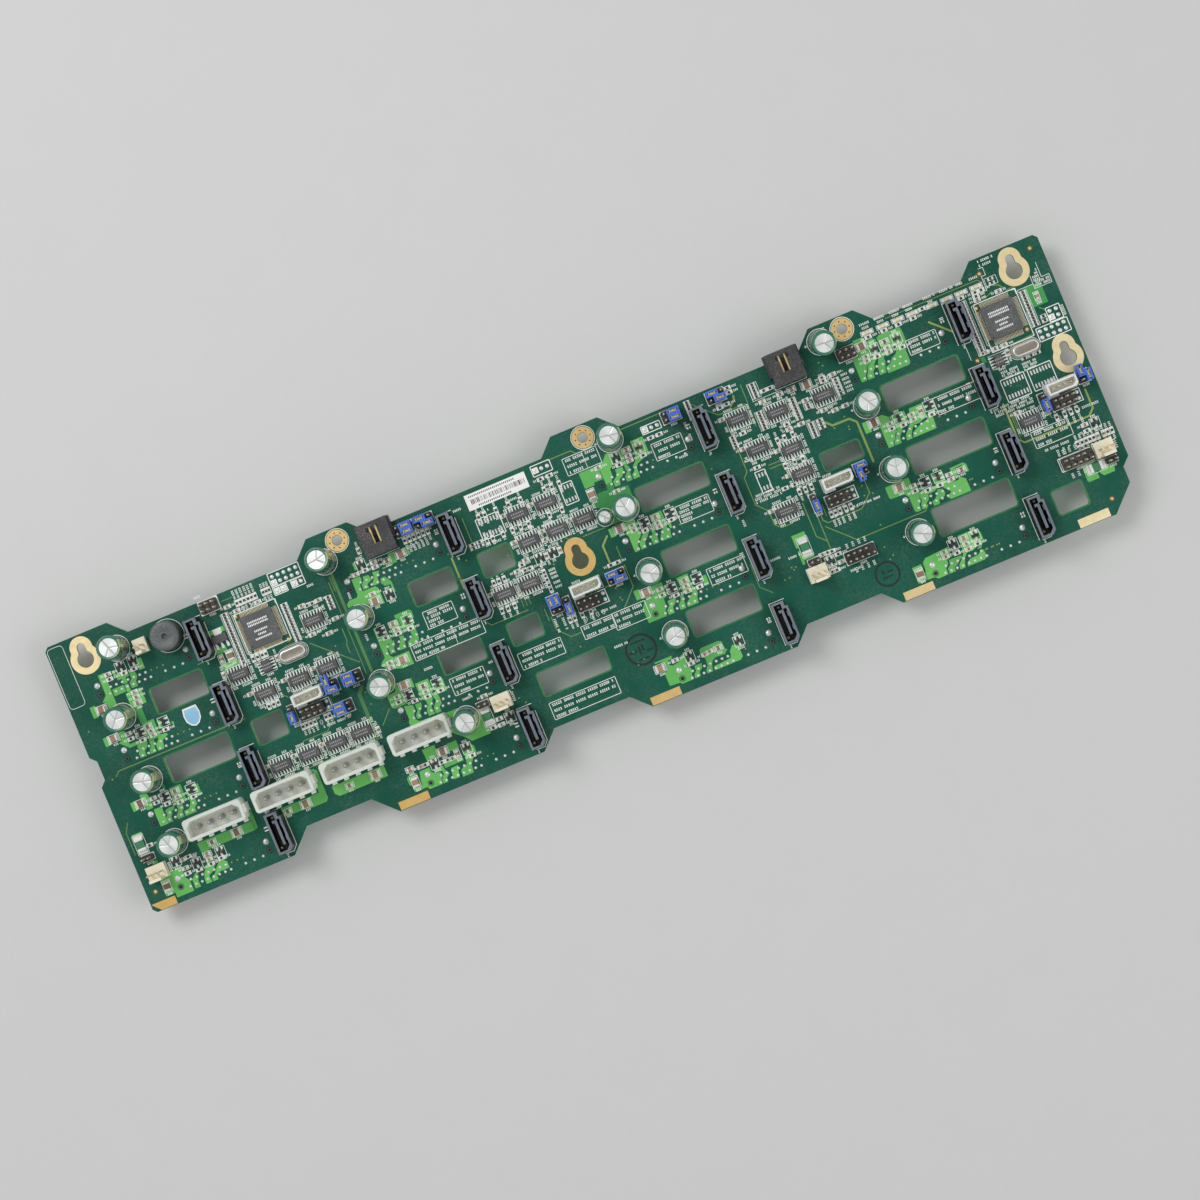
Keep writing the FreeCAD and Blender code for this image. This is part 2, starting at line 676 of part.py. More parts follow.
def build_parts():
    can = capacitor(can_radius, can_height)
    for index, (column, dx, row, dy, lean_x, lean_y) in enumerate(capacitor_sites):
        upright = leaned(can, can_radius, can_height, lean_x, lean_y)
        export("capacitor_%02d" % (index + 1), [moved(upright, site(column, dx, row, dy))])
    small = capacitor(small_can_radius, small_can_height)
    export("small_capacitor", [moved(small, site(*small_capacitor_site))])
    export("buzzer", [moved(buzzer(), site(*buzzer_site))])
    for index, place in enumerate(controller_sites):
        chip = package(controller_size, controller_size, controller_height)
        export("controller_%d" % (index + 1), [moved(chip, site(*place))])
    export("crystals", [moved(crystal(), site(*place)) for place in crystal_sites])
    logic = package(logic_length, logic_width, logic_height)
    export("logic_chips", [moved(logic, site(*place)) for place in logic_sites])
    memory = package(logic_width, memory_length, logic_height)
    export("memory_chips", [moved(memory, site(*place)) for place in memory_sites])
    regulator = package(regulator_length, regulator_width, regulator_height)
    beside = Vector((data_width + regulator_length) / 2 + regulator_gap, 0, 0)
    export("regulator", [moved(regulator, site(*regulator_site) + beside)])
    export("fuses", [moved(fuse(), site(*place[:4]), place[4]) for place in fuse_sites])


build_board_side()
build_sockets()
build_headers()
build_parts()
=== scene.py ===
# Dresses the drive backplane board: finishes for its moulded parts, and the solder, copper, print and small parts
import bpy
import numpy as np
from mathutils import Matrix, Vector


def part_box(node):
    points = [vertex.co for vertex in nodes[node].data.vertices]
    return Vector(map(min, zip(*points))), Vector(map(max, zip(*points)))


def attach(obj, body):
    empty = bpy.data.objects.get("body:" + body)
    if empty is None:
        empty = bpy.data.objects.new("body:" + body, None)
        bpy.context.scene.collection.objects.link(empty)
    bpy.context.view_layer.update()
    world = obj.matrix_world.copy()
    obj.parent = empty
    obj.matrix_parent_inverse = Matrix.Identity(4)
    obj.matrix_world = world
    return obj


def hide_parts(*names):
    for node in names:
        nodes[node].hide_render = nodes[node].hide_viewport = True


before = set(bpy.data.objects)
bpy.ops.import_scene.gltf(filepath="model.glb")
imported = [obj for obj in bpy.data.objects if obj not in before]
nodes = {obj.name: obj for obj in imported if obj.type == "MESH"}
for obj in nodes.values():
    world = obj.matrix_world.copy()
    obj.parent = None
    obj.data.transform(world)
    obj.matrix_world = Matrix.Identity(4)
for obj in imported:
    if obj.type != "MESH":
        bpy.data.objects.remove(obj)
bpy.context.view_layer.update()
mm = 0.001
top = 13.0  # level of the component side, mm
under = 11.0  # level of the hidden side, mm
columnX = [-181.53, -72.31, 36.91, 146.13]
rowY = [35.61, 7.67, -20.27, -48.21]
pitch = 2.54
printHeight = 0.05
lacquerHeight = 0.028  # of a trace under the lacquer
padLift = 0.02  # bare pads and vias over the board's face
printLift = 0.03  # print over the board's face
rng = np.random.default_rng(7)


def places(text):
    # Rows of numbers written as x y, x y
    return np.array([[float(v) for v in row.split()] for row in text.split(",")])


def site(column, dx, row, dy, *rest):
    return columnX[int(column)] + dx, rowY[int(row)] + dy


def sites(table):
    # Board places of rows that start with column, distance, row, distance
    return np.array([site(*row) for row in table])


# Meshes: every shape is a loft of closed sections, stamped at its places

def loft(sections, startCap=True, endCap=True):
    # Sections run along a path, each with the same count of points going round; a capped end closes on its middle
    sections = np.asarray(sections, float)
    count, around = sections.shape[:2]
    verts = sections.reshape(-1, 3)
    ring = np.arange(around)
    following = (ring + 1) % around
    start = np.arange(count - 1)[:, None] * around
    near, far = start + ring, start + following
    faces = [np.stack([near, far, far + around, near + around], -1).reshape(-1, 4)]
    for wanted, end, first, second in ((startCap, 0, following, ring), (endCap, count - 1, ring, following)):
        if wanted:
            verts = np.vstack([verts, sections[end].mean(0)])
            faces.append(np.stack([end * around + first, end * around + second,
                                   np.full(around, len(verts) - 1), np.full(around, -1)], -1))
    return verts, np.vstack(faces)


def stamp(shape, spots, turns=0.0, sizes=1.0, height=0.0):
    # Copies of one shape: turned about Z by turns in degrees, sized by sizes, set at spots
    verts, faces = shape
    spots = np.atleast_2d(np.asarray(spots, float))
    count = len(spots)
    if spots.shape[1] == 2:
        spots = np.column_stack([spots, np.full(count, height)])
    angle = np.radians(np.broadcast_to(turns, count))
    local = verts[None] * np.broadcast_to(sizes, (count, 3))[:, None, :]
    c, s = np.cos(angle)[:, None], np.sin(angle)[:, None]
    x = local[..., 0] * c - local[..., 1] * s
    y = local[..., 0] * s + local[..., 1] * c
    out = np.stack([x, y, local[..., 2]], -1) + spots[:, None, :]
    offset = (np.arange(count) * len(verts))[:, None, None]
    linked = np.where(faces[None] < 0, -1, faces[None] + offset)
    return out.reshape(-1, 3), linked.reshape(-1, faces.shape[1])


def joined(*shapes):
    verts, faces, start = [], [], 0
    widest = max(f.shape[1] for v, f in shapes)
    for v, f in shapes:
        verts.append(v)
        f = np.pad(f, ((0, 0), (0, widest - f.shape[1])), constant_values=-1)
        faces.append(np.where(f < 0, -1, f + start))
        start += len(v)
    return np.vstack(verts), np.vstack(faces)


def shifted(shape, x=0.0, y=0.0, z=0.0):
    return shape[0] + np.array([x, y, z]), shape[1]


def below(shape, lift=0.0):
    # The shape on the hidden side: mirrored in Z, its faces turned back outward
    verts, faces = shape
    order = (faces >= 0).sum(1)[:, None] - 1 - np.arange(faces.shape[1])
    faces = np.where(order < 0, -1, np.take_along_axis(faces, np.maximum(order, 0), 1))
    return shifted((verts * np.array([1, 1, -1]), faces), z=under - lift)


def bothSides(shape, lift):
    return joined(shifted(shape, z=top + lift), below(shape, lift))


def addObject(name, data):
    added = bpy.data.objects.new(name, data)
    bpy.context.scene.collection.objects.link(added)
    return added


def addPiece(name, shape, material, smooth=False, uv=None, tone=None, replaces=()):
    verts, faces = shape
    real = faces >= 0
    loops = faces[real]
    totals = real.sum(1)
    starts = np.concatenate([[0], np.cumsum(totals)[:-1]])
    mesh = bpy.data.meshes.new(name)
    mesh.vertices.add(len(verts))
    mesh.loops.add(len(loops))
    mesh.polygons.add(len(faces))
    for items, field, values in ((mesh.vertices, "co", (verts * mm).astype(np.float32).ravel()),
                                 (mesh.loops, "vertex_index", loops.astype(np.int32)),
                                 (mesh.polygons, "loop_start", starts.astype(np.int32)),
                                 (mesh.polygons, "loop_total", totals.astype(np.int32)),
                                 (mesh.polygons, "use_smooth", np.full(len(faces), smooth))):
        items.foreach_set(field, values)
    if uv is not None:
        mesh.uv_layers.new(name="UVMap").data.foreach_set("uv", uv[loops].astype(np.float32).ravel())
    if tone is not None:
        # One value for the whole piece, or one for each point
        shares = mesh.attributes.new("tone", "FLOAT", "POINT")
        shares.data.foreach_set("value", np.full(len(verts), tone, np.float32))
    mesh.update(calc_edges=True)
    mesh.validate()
    mesh.materials.append(material)
    piece = addObject(name, mesh)
    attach(piece, "root")
    if replaces:
        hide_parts(*replaces)


# Section shapes

def circle(radius, z, steps):
    turn = np.arange(steps) / steps * 2 * np.pi
    return np.stack([radius * np.cos(turn), radius * np.sin(turn), np.full(steps, z)], -1)


def rounded(length, width, z, corner=0.0, cut=1):
    # Rectangle about the origin, its corners cut in a few steps of an arc
    hx, hy = length / 2 - corner, width / 2 - corner
    if corner <= 0:
        return np.array([[hx, -hy, z], [hx, hy, z], [-hx, hy, z], [-hx, -hy, z]])
    turn = np.arange(cut + 1) / cut * np.pi / 2
    angle = turn + np.arange(4)[:, None] * np.pi / 2
    centres = np.array([(hx, hy), (-hx, hy), (-hx, -hy), (hx, -hy)])
    x, y = centres[:, :1] + corner * np.cos(angle), centres[:, 1:] + corner * np.sin(angle)
    return np.stack([x, y, np.full(x.shape, z)], -1).reshape(-1, 3)


def lathe(profile, steps=24, startCap=True, endCap=True):
    # Radius and height pairs turned about Z
    return loft([circle(max(r, 1e-4), z, steps) for r, z in profile], startCap, endCap)


def softBox(length, width, height, corner, cut=1):
    # A block whose upper edge and corners are eased
    return loft([rounded(length, width, 0, corner, cut), rounded(length, width, height - corner, corner, cut),
                 rounded(length - corner * 0.6, width - corner * 0.6, height - corner * 0.3, corner * 0.7, cut),
                 rounded(length - corner * 2, width - corner * 2, height, corner * 0.5, cut)])


def plate(length, width, height, corner=0.0, cut=1):
    # A very thin sheet with a sloping rim, for print, pads and copper under the lacquer
    ease = min(0.04, length / 8, width / 8)
    return loft([rounded(length, width, 0, corner, cut),
                 rounded(length - ease, width - ease, height, max(corner - ease / 2, 0.01) if corner else 0, cut)],
                startCap=False)


def ring(outer, inner, height, steps=24):
    # A flat ring: up its rim, across and down inside
    return lathe([(outer, 0), (outer - 0.03, height), (inner + 0.03, height), (inner, 0)], steps, False, False)


def frame4(x0, y0, x1, y1, line, height, corner, cut=1):
    # A rectangular border: its outer rim, its flat top and its inner rim
    length, width = abs(x1 - x0), abs(y1 - y0)
    inner = max(corner - line, 0.02)
    rows = [rounded(length, width, 0, corner, cut), rounded(length - 0.03, width - 0.03, height, corner, cut),
            rounded(length - 2 * line + 0.03, width - 2 * line + 0.03, height, inner, cut),
            rounded(length - 2 * line, width - 2 * line, 0, inner, cut)]
    return shifted(loft(rows, False, False), (x0 + x1) / 2, (y0 + y1) / 2)


def dome(radius, height, steps=10):
    # A shallow dome over a wider skirt
    profile = ((1, 0), (0.86, 0.45), (0.55, 0.85), (0.2, 1))
    return lathe([(radius * across, height * up) for across, up in profile], steps, False)


def boxes(rows, height):
    # Sheets from rows of x0 y0 x1 y1
    return joined(*[shifted(plate(abs(x1 - x0), abs(y1 - y0), height), (x0 + x1) / 2, (y0 + y1) / 2)
                    for x0, y0, x1, y1 in rows])


def strokes(paths, width, height):
    # Lines of one width along corner points, each run a thin sheet with rounded ends
    paths = [np.asarray(path, float).reshape(-1, 2) for path in paths]
    starts = np.vstack([path[:-1] for path in paths])
    ends = np.vstack([path[1:] for path in paths])
    step = ends - starts
    along = step / np.hypot(step[:, 0], step[:, 1])[:, None]
    across = np.stack([-along[:, 1], along[:, 0]], -1)
    # Neighbouring runs lie at slightly different levels, so that no two tops share a plane where they cross
    lift = (np.arange(len(starts)) % 3)[:, None] * 0.005
    out = []
    for half, z in ((width / 2, 0.0), (width / 2 - 0.02, height)):
        cut = half * 0.42
        corners = [starts - along * half - across * cut, starts - along * cut - across * half,
                   ends + along * cut - across * half, ends + along * half - across * cut,
                   ends + along * half + across * cut, ends + along * cut + across * half,
                   starts - along * cut + across * half, starts - along * half + across * cut]
        level = np.stack(corners, 1)
        heights = np.broadcast_to(z + lift * (z > 0), level.shape[:2])
        out.append(np.concatenate([level, heights[..., None]], -1))
    verts = np.stack(out, 1).reshape(-1, 3)
    ring8 = np.arange(8)
    side = np.stack([ring8, (ring8 + 1) % 8, (ring8 + 1) % 8 + 8, ring8 + 8], -1)
    lid = np.array([[8, 9, 10, 11], [8, 11, 12, 15], [12, 13, 14, 15]])
    faces = np.vstack([side, lid])[None] + (np.arange(len(starts)) * 16)[:, None, None]
    return verts, faces.reshape(-1, 4)


def area(points, height):
    # A sheet with any outline that does not cross itself: its rim, and one face of many corners on top
    points = np.asarray(points, float).reshape(-1, 2)
    following = np.roll(points, -1, 0)
    if np.sum(points[:, 0] * following[:, 1] - following[:, 0] * points[:, 1]) < 0:
        points = points[::-1]
    count = len(points)
    verts = np.vstack([np.column_stack([points, np.full(count, z)]) for z in (0.0, height)])
    walk = np.arange(count)
    following = (walk + 1) % count
    rim = np.stack([walk, following, following + count, walk + count], -1)
    rim = np.pad(rim, ((0, 0), (0, max(count - 4, 0))), constant_values=-1)
    lid = np.full((1, rim.shape[1]), -1)
    lid[0, :count] = walk + count
    return verts, np.vstack([rim, lid])


def outlines(text):
    # Outlines written as x,y x,y with a semicolon between them
    return [np.array([[float(v) for v in pair.split(",")] for pair in part.split()]) for part in text.split(";")]


# Finishes

def feed(tree, socket, value):
    # A socket gets a link from another socket, or a plain value
    if isinstance(value, bpy.types.NodeSocket):
        tree.links.new(value, socket)
    elif value is not None:
        socket.default_value = value


def addNode(tree, kind, *values, **settings):
    # A shader node whose first sockets get the values
    node = tree.nodes.new("ShaderNode" + kind)
    for setting, value in settings.items():
        setattr(node, setting, value)
    for socket, value in zip(node.inputs, values):
        feed(tree, socket, value)
    return node


def mathNode(tree, kind, *values, clamp=False):
    return addNode(tree, "Math", *values, operation=kind, use_clamp=clamp).outputs[0]


def mixNode(tree, factor, first, second):
    # The colour sockets of a mix node are its seventh and eighth
    return addNode(tree, "Mix", factor, *[None] * 5, first, second, data_type="RGBA").outputs[2]


def noiseNode(tree, coordinates, scale, detail=3.0, rough=0.55):
    node = addNode(tree, "TexNoise")
    for label, value in (("Vector", coordinates), ("Scale", scale), ("Detail", detail), ("Roughness", rough)):
        feed(tree, node.inputs[label], value)
    return node.outputs["Fac"]


def partsOf(tree, vector):
    return addNode(tree, "SeparateXYZ", vector).outputs


def objectPlace(tree):
    return addNode(tree, "TexCoord").outputs["Object"]


def faceNormal(tree):
    return addNode(tree, "NewGeometry").outputs["Normal"]


def linear(colour):
    # Red, green and blue from 0 to 255 as scene values
    value = np.asarray(colour, float) / 255
    value = np.where(value <= 0.04045, value / 12.92, ((value + 0.055) / 1.055) ** 2.4)
    return (*value.tolist(), 1.0)


def finishGroup(name, edges):
    # Grain, dust on faces that look up and a painted highlight on the edges; gives a colour, a roughness and a normal
    group = bpy.data.node_groups.new(name, "ShaderNodeTree")
    face = group.interface
    for label, value in (("Colour", (0.5, 0.5, 0.5, 1)), ("Rim", (0.7, 0.75, 0.8, 1)), ("Edge", 0.5), ("Grain", 0.1),
                         ("Scale", 500.0), ("Dust", 0.2), ("Roughness", 0.5), ("Bump", 0.1)):
        kind = "NodeSocketColor" if isinstance(value, tuple) else "NodeSocketFloat"
        face.new_socket(name=label, in_out="INPUT", socket_type=kind).default_value = value
    for label, kind in (("Colour", "Color"), ("Roughness", "Float"), ("Normal", "Vector")):
        face.new_socket(name=label, in_out="OUTPUT", socket_type="NodeSocket" + kind)
    given = group.nodes.new("NodeGroupInput").outputs
    result = group.nodes.new("NodeGroupOutput").inputs
    where = objectPlace(group)
    look = faceNormal(group)
    # Brightness swings about one with the fine noise and a little with the broad one
    fine = noiseNode(group, where, given["Scale"], 4, 0.5)
    broad = noiseNode(group, where, 45.0, 4)
    swing = mathNode(group, "SUBTRACT", fine, 0.5)
    both = mathNode(group, "MULTIPLY_ADD", mathNode(group, "SUBTRACT", broad, 0.5), 0.7, swing)
    bright = mathNode(group, "MULTIPLY_ADD", both, mathNode(group, "MULTIPLY", given["Grain"], 2.0), 1.0)
    scaled = addNode(group, "VectorMath", given["Colour"], operation="SCALE")
    feed(group, scaled.inputs["Scale"], bright)
    colour, normal = scaled.outputs[0], look
    if edges:
        # Painted highlight: near the edges that the bevel finds, the colour is mixed towards the Rim colour, unevenly
        # with the broad noise
        bevelRadius = 0.00022  # metres
        normal = addNode(group, "Bevel", bevelRadius, samples=4).outputs[0]
        dot = addNode(group, "VectorMath", normal, look, operation="DOT_PRODUCT").outputs["Value"]
        edgeHighlight = mathNode(group, "MULTIPLY", mathNode(group, "SUBTRACT", 1.0, dot),
                        mathNode(group, "MULTIPLY_ADD", broad, 5.0, 2.0), clamp=True)
        colour = mixNode(group, mathNode(group, "MULTIPLY", edgeHighlight, given["Edge"]), colour, given["Rim"])
    # Dust: faces that look up, where a broad noise is high, with fine specks
    upward = mathNode(group, "MAXIMUM", partsOf(group, look)["Z"], 0.0)
    specks = mathNode(group, "SUBTRACT", noiseNode(group, where, 1500.0, 2), 0.42, clamp=True)
    patch = mathNode(group, "SUBTRACT", noiseNode(group, where, 90.0, 5), 0.35, clamp=True)
    dust = mathNode(group, "MULTIPLY", mathNode(group, "MULTIPLY", specks, patch), 12.0, clamp=True)
    dust = mathNode(group, "MULTIPLY", mathNode(group, "MULTIPLY", dust, upward), given["Dust"], clamp=True)
    dustColour = linear((176, 172, 160))
    rough = mathNode(group, "MULTIPLY_ADD", swing, 0.25, given["Roughness"])
    bump = addNode(group, "Bump")
    for label, value in (("Distance", 0.00008), ("Strength", given["Bump"]), ("Height", fine), ("Normal", normal)):
        feed(group, bump.inputs[label], value)
    feed(group, result["Colour"], mixNode(group, dust, colour, dustColour))
    feed(group, result["Roughness"], mathNode(group, "MULTIPLY_ADD", dust, 0.4, rough, clamp=True))
    feed(group, result["Normal"], bump.outputs[0])
    return group


edgedFinish = finishGroup("edgedFinish", True)
plainFinish = finishGroup("plainFinish", False)


def finish(name, colour, roughness=0.5, metallic=0.0, grain=0.08, scale=500.0, dust=0.2, edge=None, rim=(170, 190, 205),
           bump=0.1, coat=0.0, specular=0.5, glow=0.0):
    # The colour is a triple, or one of the patterns below; rim is the colour of the painted highlight on the edges and
    # edge its strength
    material = bpy.data.materials.new(name)
    material.use_nodes = True
    tree = material.node_tree
    group = tree.nodes.new("ShaderNodeGroup")
    group.node_tree = plainFinish if edge is None else edgedFinish
    for label, value in (("Colour", colour(tree) if callable(colour) else linear(colour)), ("Rim", linear(rim)),
                         ("Edge", edge or 0.0), ("Grain", grain), ("Scale", scale), ("Dust", dust),
                         ("Roughness", roughness), ("Bump", bump)):
        feed(tree, group.inputs[label], value)
    for label, value in (("Base Color", group.outputs["Colour"]), ("Roughness", group.outputs["Roughness"]),
                         ("Normal", group.outputs["Normal"]), ("Metallic", metallic), ("Specular IOR Level", specular),
                         ("Coat Weight", coat), ("Coat Roughness", 0.12), ("Subsurface Weight", glow),
                         ("Subsurface Scale", 0.004), ("Subsurface Radius", (1, 1, 0.8))):
        feed(tree, tree.nodes["Principled BSDF"].inputs[label], value)
    return material


def boardPattern(tree):
    # Green lacquer on the two faces, pale fibre layers on the cut edges
    where = objectPlace(tree)
    upright = mathNode(tree, "LESS_THAN", mathNode(tree, "ABSOLUTE", partsOf(tree, faceNormal(tree))["Z"]), 0.5)
    layerWave = 14000.0  # radians per metre of height
    wave = mathNode(tree, "SINE", mathNode(tree, "MULTIPLY", partsOf(tree, where)["Z"], layerWave))
    wave = mathNode(tree, "MULTIPLY_ADD", wave, 0.35, 0.5)
    layers = mixNode(tree, wave, linear((78, 150, 96)), linear((150, 176, 110)))
    cloud = mathNode(tree, "MULTIPLY_ADD", noiseNode(tree, where, 26.0, 6, 0.6), 1.6, -0.4, clamp=True)
    return mixNode(tree, upright, mixNode(tree, cloud, linear((12, 76, 60)), linear((26, 98, 80))), layers)


def socketSheenPattern(tree):
    # Painted reflection: the faces that look up from the tops of the data sockets' walls and tongue are painted pale
    # grey-blue, as the overhead light would reflect off them
    where = objectPlace(tree)
    upward = mathNode(tree, "GREATER_THAN", partsOf(tree, faceNormal(tree))["Z"], 0.7)
    wallLevel = 0.0203  # metres, just under the tops
    high = mathNode(tree, "GREATER_THAN", partsOf(tree, where)["Z"], wallLevel)
    pale = mixNode(tree, noiseNode(tree, where, 300.0, 4), linear((80, 89, 101)), linear((124, 134, 148)))
    return mixNode(tree, mathNode(tree, "MULTIPLY", upward, high), linear((28, 29, 32)), pale)


def tonePattern(dark, light):
    # Each point's own share of two colours
    def build(tree):
        share = addNode(tree, "Attribute", attribute_name="tone").outputs["Fac"]
        return mixNode(tree, share, linear(dark), linear(light))
    return build


def heightPattern(low, high, start, end):
    # One colour deep in a socket and another on the tops of its walls, by height in mm
    def build(tree):
        height = partsOf(tree, objectPlace(tree))["Z"]
        share = mathNode(tree, "MULTIPLY_ADD", height, 1000.0 / (end - start), -start / (end - start), clamp=True)
        return mixNode(tree, share, linear(low), linear(high))
    return build


def sleevePattern(tree):
    # Round the can: a pale stripe, and rows of small printed flecks
    parts = partsOf(tree, addNode(tree, "UVMap", uv_map="UVMap").outputs[0])
    around, height = parts["X"], parts["Y"]

    def bands(count, level):
        return mathNode(tree, "GREATER_THAN", mathNode(tree, "SINE", mathNode(tree, "MULTIPLY", height, count)), level)

    stripe = mathNode(tree, "LESS_THAN", mathNode(tree, "ABSOLUTE", mathNode(tree, "SUBTRACT", around, 0.5)), 0.055)
    stripe = mathNode(tree, "MULTIPLY", stripe, mathNode(tree, "MULTIPLY_ADD", bands(38.0, 0.2), 0.5, 0.5))
    stretched = addNode(tree, "CombineXYZ", mathNode(tree, "MULTIPLY", around, 60.0),
                        mathNode(tree, "MULTIPLY", height, 22.0)).outputs[0]
    cells = mathNode(tree, "GREATER_THAN", noiseNode(tree, stretched, 1.0, 1.0, 0.5), 0.63)
    flecks = mathNode(tree, "MULTIPLY", cells, bands(26.0, 0.15))
    return mixNode(tree, stripe, mixNode(tree, flecks, linear((16, 92, 72)), linear((150, 156, 92))),
                   linear((206, 204, 150)))


mats = {
    "board": finish("boardLacquer", boardPattern, 0.36, grain=0.05, scale=900, dust=0.1, bump=0.03, specular=0.16),
    "pour": finish("pouredCopper", tonePattern((44, 136, 76), (110, 194, 98)), 0.36, grain=0.1, scale=700, dust=0.12,
                   bump=0.05, specular=0.25),
    "trace": finish("traceLacquer", tonePattern((26, 118, 70), (150, 168, 92)), 0.36, grain=0.06, dust=0.1,
                    specular=0.25),
    "silk": finish("whitePrint", (240, 244, 236), 0.6, grain=0.05, scale=2500, dust=0.04, specular=0.3),
    "darkPrint": finish("darkPrint", (12, 26, 30), 0.6, grain=0.1, dust=0.0),
    "gold": finish("goldPlate", (242, 214, 150), 0.36, 0.45, grain=0.08, dust=0.25, bump=0.05),
    "palegold": finish("paleGoldPlate", tonePattern((226, 184, 104), (250, 234, 188)), 0.34, 0.6, grain=0.08,
                       dust=0.25, bump=0.05),
    "pin": finish("palePin", (230, 220, 192), 0.36, 0.4, grain=0.08, dust=0.15, bump=0.05),
    "powerPin": finish("dullPin", (168, 170, 166), 0.4, 0.5, grain=0.1, dust=0.2, bump=0.05),
    "solder": finish("solderTin", (222, 224, 224), 0.32, 0.5, grain=0.12, scale=900, dust=0.15, bump=0.2),
    "tin": finish("tinnedMetal", (232, 234, 228), 0.36, 0.35, grain=0.08, dust=0.1),
    "aluminium": finish("lidAluminium", tonePattern((136, 142, 140), (236, 239, 236)), 0.36, 0.4, grain=0.05,
                        scale=1600, dust=0.15, bump=0.08),
    "sleeve": finish("greenSleeve", sleevePattern, 0.24, grain=0.1, dust=0.15, coat=0.5),
    "sleeveRim": finish("sleeveRim", tonePattern((22, 112, 88), (206, 200, 128)), 0.3, grain=0.08, dust=0.12, coat=0.4),
    "black": finish("blackHousing", socketSheenPattern, 0.42, grain=0.1, edge=0.75, dust=0.3, rim=(150, 162, 178),
                    specular=0.3),
    "charcoal": finish("charcoalHousing", (44, 45, 48), 0.45, grain=0.1, edge=0.6, dust=0.3, rim=(136, 146, 158)),
    "header": finish("headerBlack", (30, 31, 33), 0.45, grain=0.1, edge=0.45, dust=0.3, rim=(120, 128, 138)),
    # Painted light: the white housing is painted paler below 20.5 mm, deep in its sockets, lifting the shade of the
    # recesses, and greyer green up to the tops of the walls
    "white": finish("whiteHousing", heightPattern((250, 252, 240), (212, 222, 210), 20.5, 24.0), 0.4, grain=0.05,
                    edge=0.5, dust=0.2, rim=(240, 241, 232), glow=0.8),
    "cream": finish("creamHousing", (238, 230, 204), 0.42, grain=0.05, edge=0.4, dust=0.2, rim=(246, 242, 226)),
    "blue": finish("blueCap", (52, 104, 206), 0.36, grain=0.06, edge=0.6, dust=0.12, rim=(150, 190, 250)),
    "package": finish("mouldedPackage", (70, 71, 74), 0.5, grain=0.14, scale=1400, edge=0.4, dust=0.3,
                      rim=(120, 124, 128)),
    "controller": finish("controllerPackage", (76, 80, 82), 0.46, grain=0.12, scale=1200, edge=0.4, dust=0.3,
                         rim=(140, 144, 146)),
    "crystal": finish("crystalCan", tonePattern((150, 142, 130), (226, 226, 220)), 0.3, 0.6, grain=0.06, scale=900,
                      dust=0.12, bump=0.01),
    "fuse": finish("fuseGreen", (52, 128, 84), 0.5, grain=0.1, edge=0.3, dust=0.2, rim=(196, 214, 200)),
    "buzzer": finish("buzzerCase", (84, 90, 92), 0.45, grain=0.1, dust=0.3),
    "hole": finish("darkHole", (12, 14, 14), 0.7, grain=0.1, dust=0.05),
    "chipcap": finish("chipCapacitor", tonePattern((112, 88, 66), (172, 142, 108)), 0.45, grain=0.12, scale=1500,
                      dust=0.15),
    "resistor": finish("chipResistor", (40, 42, 46), 0.45, grain=0.12, scale=1500, dust=0.15),
    "marking": finish("chipMarking", (158, 162, 160), 0.6, grain=0.1, dust=0.2),
    "paper": finish("stickerPaper", (240, 241, 238), 0.55, grain=0.03, dust=0.1),
    "ink": finish("stickerInk", (40, 42, 46), 0.6, grain=0.06, dust=0.1),
    "shield": finish("shieldBlue", tonePattern((96, 160, 206), (150, 204, 232)), 0.35, grain=0.06, dust=0.1),
    "leadBeige": finish("beigeTin", (214, 202, 168), 0.36, 0.4, grain=0.08, dust=0.1),
    "amber": finish("viaBrown", (96, 92, 60), 0.45, 0.3, grain=0.1, dust=0.1),
    "led": finish("lampCream", (226, 218, 180), 0.3, grain=0.05, dust=0.1),
}
print("finishes made:", len(mats))


def toneOf(shape, values, copies):
    # One value for each stamped copy, spread over its points
    return np.repeat(np.broadcast_to(values, copies), len(shape[0]) // copies)


# CAD nodes keep their shapes and get the finishes above
finishOf = {
    "circuit_board": "board", "drive_sockets": "black", "data_socket": "black", "side_socket": "charcoal",
    "side_socket_pins": "gold", "power_socket": "white", "power_pins": "tin", "bus_sockets": "white",
    "fan_sockets": "cream", "reset_socket": "cream", "pin_headers": "header", "header_pins": "gold",
    "jumper_caps": "blue", "controller": "controller", "logic_chips": "package", "memory_chips": "package",
    "regulator": "package", "crystals": "crystal", "fuses": "fuse", "buzzer": "buzzer", "capacitor": "sleeve",
    "small_capacitor": "sleeve",
}
for nodeName, node in nodes.items():
    key = max((k for k in finishOf if nodeName.startswith(k)), key=len)
    for materialSlot in node.material_slots:
        materialSlot.material = mats[finishOf[key]]
print("finishes given to", len(nodes), "nodes")

